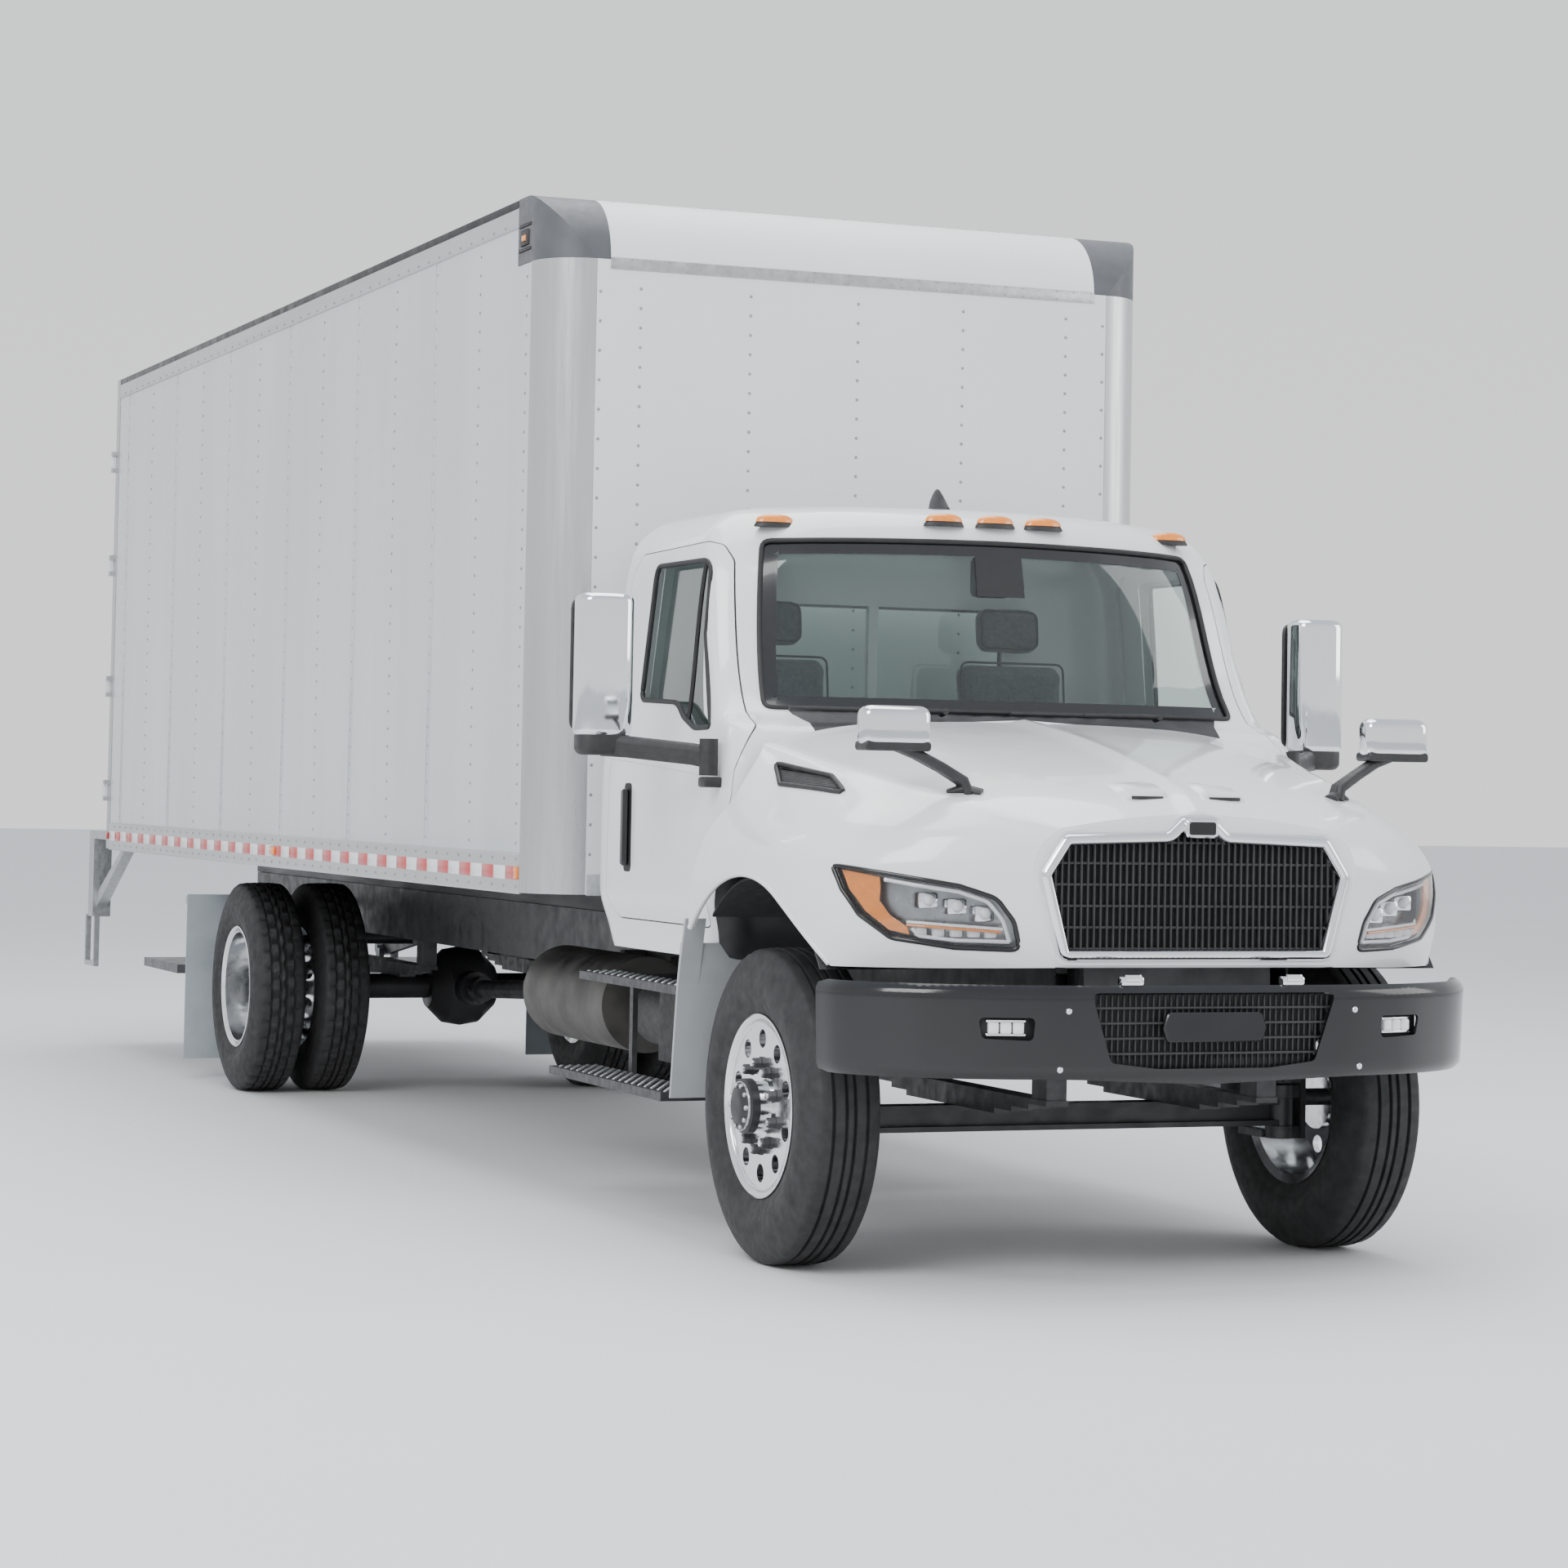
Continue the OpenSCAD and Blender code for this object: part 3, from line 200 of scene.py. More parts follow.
add("tyre", Mat("tyre", (0.018, 0.018, 0.019), 0.68)).vary(14, 0.35).roughen(30, 0.1).bump(
    350, 0.0008, 0.5)
add("glass", Mat("glass", (0.72, 0.80, 0.78), 0.02, Transmission_Weight=1.0, IOR=1.45)
    ).vary(1.5, 0.01)
add("lamp_lens", Mat("lamp_lens", (0.95, 0.96, 0.97), 0.03, Transmission_Weight=1.0, IOR=1.3)
    ).roughen(60, 0.01)
add("amber_lens", Mat("amber_lens", (0.90, 0.26, 0.02), 0.15, Coat_Weight=0.6)
    ).vary(60, 0.1).bump(0, 0.002, 0.5, height=None)
add("red_lens", Mat("red_lens", (0.45, 0.012, 0.010), 0.15, Coat_Weight=0.6)).vary(60, 0.1).bump(
    220, 0.001, 0.4)
add("tape_red", Mat("tape_red", (0.55, 0.02, 0.02), 0.3, Coat_Weight=0.4)).vary(300, 0.12)
add("tape_white", Mat("tape_white", (0.80, 0.81, 0.82), 0.3, Coat_Weight=0.4)).vary(300, 0.05)
add("lamp_white", Mat("lamp_white", (0.88, 0.89, 0.90), 0.2, Coat_Weight=0.5)).vary(80, 0.03)
add("rubber_seal", Mat("rubber_seal", (0.015, 0.015, 0.016), 0.6)).vary(30, 0.2).bump(
    500, 0.0004, 0.3)
add("frit", Mat("frit", (0.008, 0.008, 0.009), 0.15, Coat_Weight=0.5)).vary(40, 0.2)
wood = add("floor_wood", Mat("floor_wood", (0.40, 0.27, 0.15), 0.45))
wood.vary(14, 0.3, (1, 0.06, 1)).roughen(20, 0.1, (1, 0.1, 1)).bump(80, 0.0006, 0.3, (1, 0.05, 1))
add("lamp_metal", Mat("lamp_metal", (0.30, 0.31, 0.32), 0.3, 0.9)).vary(14, 0.15).roughen(20, 0.06)
add("rivet", Mat("rivet", (0.30, 0.32, 0.33), 0.4, 0.4)).vary(30, 0.15)
cloth = add("seat_fabric", Mat("seat_fabric", (0.13, 0.135, 0.145), 0.85, Sheen_Weight=0.4))
# Painted shade: faces of the box floor that don't face up are near-black, standing for the shadow under
# the box.
top = wood.node("ShaderNodeNewGeometry")
parts = wood.node("ShaderNodeSeparateXYZ")
wood.link(top.outputs["True Normal"], parts.inputs[0])
painted_underside_shade_mask = wood.node("ShaderNodeMath", operation="GREATER_THAN")
wood.link(parts.outputs["Z"], painted_underside_shade_mask.inputs[0])
painted_shade_mix = wood.node("ShaderNodeMix", data_type="RGBA")
painted_shade_mix.inputs[6].default_value = (0.02, 0.02, 0.022, 1)
wood.link(painted_underside_shade_mask.outputs[0], painted_shade_mix.inputs[0])
wood.link(wood.b.inputs["Base Color"].links[0].from_socket, painted_shade_mix.inputs[7])
wood.link(painted_shade_mix.outputs[2], wood.b.inputs["Base Color"])
liner = add("grey_plastic", Mat("grey_plastic", (0.36, 0.38, 0.39), 0.5))
liner.vary(9, 0.06).roughen(25, 0.08).bump(500, 0.0006, 0.4)
# Painted shade: the liner is near-black forward of half a metre behind the front axle, for the shade
# inside the front wheel arch.
spot = liner.node("ShaderNodeNewGeometry")
height = liner.node("ShaderNodeSeparateXYZ")
liner.link(spot.outputs["Position"], height.inputs[0])
painted_arch_shade_mask = liner.node("ShaderNodeMath", operation="LESS_THAN")
painted_arch_shade_mask.inputs[1].default_value = AXLE_Y + 0.5
liner.link(height.outputs["Y"], painted_arch_shade_mask.inputs[0])
painted_shade_mix = liner.node("ShaderNodeMix", data_type="RGBA")
painted_shade_mix.inputs[7].default_value = (0.015, 0.015, 0.016, 1)
liner.link(painted_arch_shade_mask.outputs[0], painted_shade_mix.inputs[0])
liner.link(liner.b.inputs["Base Color"].links[0].from_socket, painted_shade_mix.inputs[6])
liner.link(painted_shade_mix.outputs[2], liner.b.inputs["Base Color"])
cloth.vary(90, 0.25).bump(0, 0.0008, 0.6, height=wave_height(cloth, 190, "DIAGONAL"))
piping = add("seat_piping", Mat("seat_piping", (0.05, 0.052, 0.055), 0.6)).vary(60, 0.2)

SLOT = {s["node"]: s["material_slot"] for s in frame["record"]["subparts"]}
for _name, _node in frame["nodes"].items():
    for _s in _node.material_slots:
        _s.material = M[SLOT[_name]]

# ---- shape helpers -------------------------------------------------------------------


class Shape:
    """Collects closed pieces drawn in local millimetres, then makes one object of them."""

    def __init__(self, side=1):
        self.bm = bmesh.new()
        self.flip = side

    def v(self, p):
        return self.bm.verts.new(place((p[0] * self.flip, p[1], p[2])))

    def grid(self, rows, around=True, caps=True):
        """Skin through rows of points; around closes each row into a ring."""
        vs = [[self.v(p) for p in row] for row in rows]
        n = len(rows[0])
        for i in range(len(rows) - 1):
            for k in range(n if around else n - 1):
                j = (k + 1) % n
                self.bm.faces.new((vs[i][k], vs[i][j], vs[i + 1][j], vs[i + 1][k]))
        if caps and around:
            self.bm.faces.new(vs[0][::-1])
            self.bm.faces.new(vs[-1])
        return vs

    def lathe(self, profile, centre, axis="x", segs=48, closed=False, turn=0.0):
        """profile: (radius, height) along the axis; closed joins its ends into a ring."""
        rows = []
        pts = profile + [profile[0]] if closed else profile
        for r, h in pts:
            row = []
            for k in range(segs):
                a = turn + 2 * math.pi * k / segs
                c, s = r * math.cos(a), r * math.sin(a)
                d = {"x": (h, c, s), "y": (c, h, s), "z": (c, s, h)}[axis]
                row.append((centre[0] + d[0], centre[1] + d[1], centre[2] + d[2]))
            rows.append(row)
        if closed:
            vs = [[self.v(p) for p in row] for row in rows[:-1]]
            vs.append(vs[0])
            for i in range(len(rows) - 1):
                for k in range(segs):
                    j = (k + 1) % segs
                    self.bm.faces.new((vs[i][k], vs[i][j], vs[i + 1][j], vs[i + 1][k]))
        else:
            self.grid(rows)

    def box(self, lo, hi, r=3.0, turn=None, about=None):
        r = min(r, *[(b - a) * 0.45 for a, b in zip(lo, hi)])
        c = [(a + b) / 2 for a, b in zip(lo, hi)]
        h = [(b - a) / 2 for a, b in zip(lo, hi)]
        rows = []
        cut = r * BEVEL
        steps = [(-h[2], r), (-h[2] + cut, cut), (-h[2] + r, 0), (h[2] - r, 0), (h[2] - cut, cut),
            (h[2], r)]
        for z, inset in steps:
            ring = []
            for sx, sy in ((1, 1), (-1, 1), (-1, -1), (1, -1)):
                x, y = h[0] - inset, h[1] - inset
                corner = [(x, y - r), (x - cut, y - cut), (x - r, y)]
                if sx * sy < 0:
                    corner.reverse()
                ring += [(sx * a, sy * b, z) for a, b in corner]
            rows.append(ring)
        turn = turn or Matrix.Identity(3)
        pivot = Vector(about or c)
        shift = Vector(c) - pivot
        self.grid([[tuple(pivot + turn @ (Vector(p) + shift)) for p in row] for row in rows])

    def tube(self, pts, r, segs=10, closed=False, flat=1.0, up=(0, 0, 1)):
        """A round or flattened bar along points; flat scales it along up."""
        pts = [Vector(p) for p in pts]
        n = len(pts)
        rows = []
        for i, p in enumerate(pts):
            a = pts[i - 1] if (i or closed) else p
            b = pts[(i + 1) % n] if (i < n - 1 or closed) else p
            t = (b - a).normalized()
            u = Vector(up)
            u = (u - t * u.dot(t))
            if u.length < 1e-3:
                u = t.orthogonal()
            u.normalize()
            w = t.cross(u)
            rows.append([tuple(p + w * r * math.cos(2 * math.pi * k / segs)
                + u * r * flat * math.sin(2 * math.pi * k / segs)) for k in range(segs)])
        if closed:
            vs = [[self.v(q) for q in row] for row in rows]
            for i in range(n):
                for k in range(segs):
                    j = (k + 1) % segs
                    self.bm.faces.new((vs[i][k], vs[i][j], vs[(i + 1) % n][j], vs[(i + 1) % n][k]))
        else:
            self.grid(rows)

    def dome(self, p, axis, r, h=None, segs=8):
        """A low rivet or bolt head standing on p."""
        h = h or r * 0.6
        n = Vector(axis).normalized()
        u = n.orthogonal().normalized()
        w = n.cross(u)
        rows = [[tuple(Vector(p) + n * z + (u * math.cos(2 * math.pi * k / segs)
            + w * math.sin(2 * math.pi * k / segs)) * q) for k in range(segs)]
            for q, z in ((r, -0.5), (r * 0.95, h * 0.35), (r * 0.55, h * 0.9), (r * 0.1, h))]
        self.grid(rows)

    def slab(self, outline, axis, a, b, bevel=0.0):
        """A closed 2-D outline extruded from a to b along an axis, with eased edges."""
        def pt(p, h):
            return {"x": (h, p[0], p[1]), "y": (p[0], h, p[1]), "z": (p[0], p[1], h)}[axis]
        if bevel:
            small = offset_outline(outline, -bevel)
            rows = [(small, a), (outline, a + bevel), (outline, b - bevel), (small, b)]
        else:
            rows = [(outline, a), (outline, b)]
        self.grid([[pt(p, h) for p in o] for o, h in rows])

    def make(self, name, body, mat, angle=38, thick=0.0, merge=True):
        bm = self.bm
        if merge:
            bmesh.ops.remove_doubles(bm, verts=bm.verts, dist=0.00002)
        bmesh.ops.dissolve_degenerate(bm, edges=bm.edges, dist=0.00001)
        bmesh.ops.recalc_face_normals(bm, faces=bm.faces)
        if thick:
            thicken(bm, abs(thick) / 1000)
        mesh = bpy.data.meshes.new(name)
        bm.to_mesh(mesh)
        bm.free()
        mesh.shade_smooth()
        mesh.set_sharp_from_angle(angle=math.radians(angle))
        mesh.materials.append(M[mat])
        obj = bpy.data.objects.new(name, mesh)
        bpy.context.scene.collection.objects.link(obj)
        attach(obj, body)
        return obj


def thicken(bm, depth):
    """Gives an open sheet a thickness toward the middle of the cab."""
    middle = place((0, 700, 1350))
    left = set(bm.faces)
    while left:
        island = {left.pop()}
        front = list(island)
        while front:
            for e in front.pop().edges:
                for f in e.link_faces:
                    if f in left:
                        left.discard(f)
                        island.add(f)
                        front.append(f)
        if sum(f.normal.dot(f.calc_center_median() - middle) * f.calc_area() for f in island) < 0:
            bmesh.ops.reverse_faces(bm, faces=list(island))
    bm.normal_update()
    faces = bm.faces[:]
    edges = [e for e in bm.edges if len(e.link_faces) == 1]
    loops = [(e.link_loops[0].vert, e.link_loops[0].link_loop_next.vert) for e in edges]
    inner = {v: bm.verts.new(v.co - v.normal * depth) for v in bm.verts[:]}
    for f in faces:
        bm.faces.new([inner[v] for v in reversed(f.verts)])
    for a, b in loops:
        bm.faces.new((b, a, inner[a], inner[b]))


def fillet(points, radius, segs=5, closed=True):
    """Rounds the corners of an outline; radius is one number or one for each point."""
    n = len(points)
    out = []
    for i, p in enumerate(points):
        r = radius[i] if isinstance(radius, (list, tuple)) else radius
        if not closed and i in (0, n - 1) or r <= 0:
            out.append(tuple(p))
            continue
        p = Vector(p)
        a, b = Vector(points[i - 1]) - p, Vector(points[(i + 1) % n]) - p
        half = a.angle(b) / 2
        cut = min(r / max(math.tan(half), 1e-3), a.length * 0.45, b.length * 0.45)
        s, e = p + a.normalized() * cut, p + b.normalized() * cut
        for k in range(segs + 1):
            t = k / segs
            out.append(tuple(s * (1 - t) ** 2 + p * 2 * t * (1 - t) + e * t * t))
    return out


def offset_outline(points, d):
    """Moves a closed outline out by d, or in where d is below 0."""
    n = len(points)
    area = sum(points[i - 1][0] * points[i][1] - points[i][0] * points[i - 1][1] for i in range(n))
    sign = 1 if area > 0 else -1
    out = []
    for i in range(n):
        p = Vector(points[i])
        a = (p - Vector(points[i - 1])).normalized()
        b = (Vector(points[(i + 1) % n]) - p).normalized()
        na, nb = Vector((a.y, -a.x)) * sign, Vector((b.y, -b.x)) * sign
        m = na + nb
        if m.length < 1e-6:
            m = na
        m.normalize()
        out.append(tuple(p + m * d / max(m.dot(na), 0.35)))
    return out


def dense(points, step, closed=True):
    out = []
    n = len(points)
    for i in range(n if closed else n - 1):
        a, b = Vector(points[i]), Vector(points[(i + 1) % n])
        k = max(1, int((b - a).length / step + 0.5))
        out += [tuple(a + (b - a) * (j / k)) for j in range(k)]
    if not closed:
        out.append(tuple(points[-1]))
    return out


def pchip(xs, ys):
    """A smooth curve through points that never overshoots between them."""
    n = len(xs)
    h = [xs[i + 1] - xs[i] for i in range(n - 1)]
    d = [(ys[i + 1] - ys[i]) / h[i] for i in range(n - 1)]
    m = [d[0]] + [0 if d[i - 1] * d[i] <= 0 else 3 * (h[i - 1] + h[i]) / (
        (2 * h[i] + h[i - 1]) / d[i - 1] + (h[i] + 2 * h[i - 1]) / d[i])
        for i in range(1, n - 1)] + [d[-1]]

    def f(x):
        x = min(max(x, xs[0]), xs[-1])
        i = 0
        while i < n - 2 and x > xs[i + 1]:
            i += 1
        t = (x - xs[i]) / h[i]
        return ((1 + 2 * t) * (1 - t) ** 2 * ys[i] + t * (1 - t) ** 2 * h[i] * m[i]
            + t * t * (3 - 2 * t) * ys[i + 1] + t * t * (t - 1) * h[i] * m[i + 1])
    return f


def inside(points, loop):
    """Even-odd test of many points against a closed loop."""
    pts = np.asarray(points, float)
    hit = np.zeros(len(pts), bool)
    n = len(loop)
    for i in range(n):
        (x0, y0), (x1, y1) = loop[i - 1], loop[i]
        if y0 == y1:
            continue
        cross = (pts[:, 1] > min(y0, y1)) & (pts[:, 1] <= max(y0, y1))
        xs = x0 + (pts[:, 1] - y0) * (x1 - x0) / (y1 - y0)
        hit ^= cross & (pts[:, 0] < xs)
    return hit


def patch(shape, surface, loops, step, flip=False):
    """Trims surface(u, v) to loops, the first the outside and the rest holes."""
    loops = [dense(loop, step) for loop in loops]
    pts = []
    edges = []
    for loop in loops:
        base = len(pts)
        pts += loop
        edges += [(base + i, base + (i + 1) % len(loop)) for i in range(len(loop))]
    us = [p[0] for p in loops[0]]
    vs = [p[1] for p in loops[0]]
    cells = [(u, v + (step * 0.5 if i % 2 else 0)) for i, u in enumerate(
        np.arange(min(us) + step / 2, max(us), step)) for v in np.arange(min(vs) + step / 2,
        max(vs), step)]
    keep = inside(cells, loops[0])
    for hole in loops[1:]:
        keep &= ~inside(cells, hole)
    border = np.asarray(pts)
    for c, k in zip(cells, keep):
        if k and np.min(np.sum((border - c) ** 2, axis=1)) > (step * 0.45) ** 2:
            pts.append(c)
    co, _, faces, _, _, _ = delaunay_2d_cdt([Vector(p) for p in pts], edges, [], 0, 1e-3)
    mid = [[sum(co[i][a] for i in f) / 3 for a in (0, 1)] for f in faces]
    ok = inside(mid, loops[0])
    for hole in loops[1:]:
        ok &= ~inside(mid, hole)
    used = {}
    for f, good in zip(faces, ok):
        if not good:
            continue
        for i in f:
            if i not in used:
                used[i] = shape.v(surface(co[i][0], co[i][1]))
        try:
            shape.bm.faces.new([used[i] for i in (f[::-1] if flip else f)])
        except ValueError:
            pass


def bisect(f, target, a, b):
    """The x between a and b where the rising function f meets target."""
    for _ in range(32):
        m = (a + b) / 2
        if f(m) < target:
            a = m
        else:
            b = m
    return (a + b) / 2


# ---- the hood ------------------------------------------------------------------------

HOOD = [
    (-965, [(505, 1035), (560, 1200), (585, 1335), (560, 1420), (490, 1478), (250, 1512), (0, 1530)]),
    (-880, [(700, 1030), (760, 1180), (770, 1320), (720, 1430), (600, 1510), (300, 1560), (0, 1585)]),
    (-760, [(900, 1025), (960, 1180), (960, 1330), (900, 1440), (730, 1550), (380, 1600), (0, 1625)]),
    (-560, [(1110, 1022), (1140, 1180), (1120, 1340), (1020, 1470), (820, 1590), (430, 1655),
        (0, 1680)]),
    (-300, [(1190, 1020), (1196, 1200), (1176, 1360), (1060, 1510), (880, 1640), (480, 1715),
        (0, 1738)]),
    (0, [(1198, 1020), (1202, 1240), (1188, 1370), (1090, 1540), (950, 1690), (520, 1770),
        (0, 1790)]),
    (276, [(1200, 1020), (1202, 1240), (1190, 1380), (1125, 1560), (1020, 1745), (550, 1812),
        (0, 1828)]),
    (500, [(1200, 1020), (1202, 1240), (1192, 1380), (1150, 1560), (1060, 1800), (560, 1850),
        (0, 1862)])]
_hood_y = [r[0] for r in HOOD]
_hood_x = [pchip(_hood_y, [r[1][i][0] for r in HOOD]) for i in range(7)]
_hood_z = [pchip(_hood_y, [r[1][i][1] for r in HOOD]) for i in range(7)]
_hood_memo = {}


def hood_row(y):
    key = round(y, 2)
    if key not in _hood_memo:
        xs, zs = [f(y) for f in _hood_x], [f(y) for f in _hood_z]
        low = (pchip([0, 1, 2, 3, 4], xs[:5]), pchip([0, 1, 2, 3, 4], zs[:5]))
        top = (pchip([4, 5, 6], xs[4:]), pchip([4, 5, 6], zs[4:]))
        _hood_memo[key] = [lambda t, i=i: (low if t < 4 else top)[i](t) for i in (0, 1)]
    return _hood_memo[key]


HS = 270.0


def hood_point(u, y, lift=0.0):
    fx, fz = hood_row(y)
    s = min(max(u / HS, 0), 6)
    x, z = fx(s), fz(s)
    z += 9 * math.exp(-(x / 40) ** 2)
    if lift:
        e = 0.02
        a, b = min(s + e, 6), max(s - e, 0)
        du = Vector((fx(a) - fx(b), 0, fz(a) - fz(b)))
        gx, gz = hood_row(y + 4)
        hx, hz = hood_row(y - 4)
        dy = Vector((gx(s) - hx(s), 8, gz(s) - hz(s)))
        n = du.cross(dy).normalized()
        if n.x < 0 and abs(n.x) > abs(n.z) or n.z < 0 and abs(n.z) > abs(n.x):
            n = -n
        return (x + n.x * lift, y + n.y * lift, z + n.z * lift)
    return (x, y, z)


def hood_u(y, z):
    return bisect(lambda u: hood_point(u, y)[2], z, 0, 6 * HS)


def hood_u_at_x(y, x):
    return bisect(lambda u: -hood_point(u, y)[0], -x, 2.0 * HS, 6 * HS)


_samples = [(u, y, *hood_point(u, y)) for u in np.arange(0, 3.6 * HS, 12) for y in
    np.arange(-964, -380, 12)]
_sample_xz = np.array([(s[2], s[4]) for s in _samples])


def hood_uv(x, z):
    """The hood's own coordinates of a point seen from the front."""
    i = int(np.argmin(np.sum((_sample_xz - (x, z)) ** 2, axis=1)))
    u, y = _samples[i][:2]
    step = 8.0
    best = None
    while step > 0.4:
        found = min(((hood_point(u + a * step, y + b * step), a, b) for a in (-1, 0, 1)
            for b in (-1, 0, 1)), key=lambda t: (t[0][0] - x) ** 2 + (t[0][2] - z) ** 2)
        if found[1] == found[2] == 0:
            step /= 2
        else:
            u, y = u + found[1] * step, y + found[2] * step
        best = (u, y)
    return best


LAMP = [(612, 1088), (636, 1180), (690, 1252), (800, 1290), (930, 1312), (1116, 1346),
    (1100, 1270), (1060, 1190), (975, 1118), (800, 1092)]
lamp_xz = dense(fillet(LAMP, [22, 60, 60, 60, 60, 12, 50, 50, 50, 60], 4), 25)
lamp_uv = [hood_uv(x, z) for x, z in lamp_xz]

flare = [(255, 1600), (268, 1540), (345, 1472), (400, 1410), (421, 1371), (455, 1310),
    (480, 1243), (490, 1170), (490, 1104)]
arch_r = 700
arch = [(y, 600 + math.sqrt(arch_r ** 2 - y * y)) for y in
    [490 * math.cos(math.pi * k / 50) for k in range(1, 25)]] + [
    (y, 600 + math.sqrt(arch_r ** 2 - y * y)) for y in
    [-555 * math.sin(math.pi / 2 * k / 22) for k in range(0, 23)]]
hood_loop = [(0, -965), (6 * HS, -965), (6 * HS, 338)]
hood_loop += [(hood_u_at_x(y, x), y) for x, y in ((300, 338), (560, 334), (760, 318), (900, 296),
    (985, 268), (1040, 256))]
hood_loop += [(hood_u(y, z), y) for y, z in flare]
hood_loop += [(hood_u(y, z), y) for y, z in arch]
hood_loop += [(0, -566)]
vent_loop = fillet([(hood_u(150, 1672), 150), (hood_u(-170, 1630), -170),
    (hood_u(-335, 1572), -335), (hood_u(40, 1600), 40)], 14, 3)

h = Shape()
for side in (1, -1):
    h.flip = side
    patch(h, hood_point, [hood_loop, lamp_uv, vent_loop], 25, flip=side < 0)
hood = h.make("hood_skin", "hood", "white_paint", thick=-22)
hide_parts("hood")

h = Shape()
for side in (1, -1):
    h.flip = side
    h.tube([hood_point(hood_u(y, z), y, -6) for y, z in arch], 11)
    h.tube([hood_point(u, y, -8) for u, y in hood_loop[2:9]]
        + [hood_point(hood_u(y, z), y, -10) for y, z in flare], 5)
h.make("hood_edges", "hood", "white_paint")

# Side vents: a dark frame with slanting slats
for side, tag in SIDES:
    h = Shape(side)
    patch(h, lambda u, v: hood_point(u, v, -26), [offset_outline(vent_loop, 8)], 40)
    h.make("vent_back_" + tag, "hood", "black_plastic", thick=3)
    h = Shape(side)
    h.tube([hood_point(u, v, 2) for u, v in dense(vent_loop, 25)], 9, closed=True)
    for k in range(7):
        t = (k + 0.7) / 7.6
        a = [vent_loop[0][i] * (1 - t) + vent_loop[-1][i] * t for i in (0, 1)]
        b = [vent_loop[5][i] * (1 - t) + vent_loop[8][i] * t for i in (0, 1)]
        h.tube([hood_point(a[0] + (b[0] - a[0]) * q, a[1] + (b[1] - a[1]) * q, -8)
            for q in [j / 8 for j in range(9)]], 8, 8)
    h.make("vent_slats_" + tag, "hood", "black_plastic")
    # Two small raised vents near the nose
    h = Shape(side)
    rows = []
    for t, rise in ((0, 14), (0.06, 24), (0.5, 18), (1, 0)):
        y = -880 + 170 * t
        rows.append([(x, y, hood_point(hood_u_at_x(y, x), y)[2] + rise * f - 3)
            for x, f in ((62, 0), (78, 1), (135, 1), (205, 1), (222, 0))])
    ring = [[*row, *[(p[0], p[1], p[2] - 12) for p in row[::-1]]] for row in rows]
    h.grid(ring)
    h.make("nose_vent_" + tag, "hood", "white_paint")
    h = Shape(side)
    z = hood_point(hood_u_at_x(-880, 140), -880)[2]
    h.box((84, -884, z - 2), (198, -876, z + 9), 2)
    h.make("nose_vent_mouth_" + tag, "hood", "black_plastic")

# Headlamps: bowl, three projectors, a light guide round them, a lower row and an amber part
for side, tag in SIDES:

    def lamp(points, lift=0.0, step=14):
        return [hood_point(*hood_uv(x, z), lift) for x, z in dense(points, step, False)]

    h = Shape(side)
    patch(h, lambda u, v: hood_point(u, v, -60), [offset_outline(lamp_uv, 4)], 30)
    h.make("lamp_bowl_" + tag, "hood", "lamp_metal", thick=2)
    h = Shape(side)
    h.tube([hood_point(u, v, -3) for u, v in lamp_uv], 8, closed=True)
    h.make("lamp_edge_" + tag, "hood", "gloss_black")
    h = Shape(side)
    patch(h, lambda u, v: hood_point(u, v, -1), [offset_outline(lamp_uv, -3)], 26)
    lens = h.make("lamp_lens_" + tag, "hood", "lamp_lens", thick=-4)
    if side > 0:
        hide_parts("headlamps")
    cells = ((725, 1200), (805, 1222), (888, 1240))
    for part, mat in (("housings", "chrome"), ("projectors", "lamp_white")):
        h = Shape(side)
        for x, z in cells:
            p = hood_point(*hood_uv(x, z), -34)
            if part == "housings":
                h.box((p[0] - 34, p[1] - 8, p[2] - 27), (p[0] + 34, p[1] + 50, p[2] + 25), 8)
            else:
                h.lathe([(20, 4), (20, -9), (17, -15), (10, -20), (2, -22)], p, "y", 24)
        h.make("lamp_%s_%s" % (part, tag), "hood", mat)
    guide = [(1000, 1304), (930, 1290), (800, 1270), (715, 1240), (668, 1180), (645, 1112)]
    h = Shape(side)
    h.tube(lamp(fillet(guide, 40, 4, False), -14), 7, 8)
    h.tube(lamp(fillet([(645, 1112), (800, 1113), (905, 1124), (925, 1150)], 16, 3, False), -14), 6, 8)
    h.tube(lamp([(668, 1152), (940, 1170)], -14), 5, 8)
    for x in (700, 750, 800, 850, 900):
        p = hood_point(*hood_uv(x, 1135), -24)
        h.box((p[0] - 19, p[1] - 4, p[2] - 14), (p[0] + 19, p[1] + 20, p[2] + 14), 5)
    h.make("lamp_guides_" + tag, "hood", "lamp_white")
    h = Shape(side)
    amber = [(1012, 1312), (1100, 1334), (1086, 1272), (1046, 1202), (985, 1142), (930, 1128),
        (938, 1152), (985, 1190), (1012, 1236), (1010, 1280)]
    patch(h, lambda u, v: hood_point(u, v, -14), [[hood_uv(x, z) for x, z in dense(amber, 18)]], 20)
    h.tube(lamp([(940, 1160), (672, 1143)], -12), 4, 8)
    h.make("lamp_amber_" + tag, "hood", "amber_lens", thick=-8)

# ---- grille ----------------------------------------------------------------------------

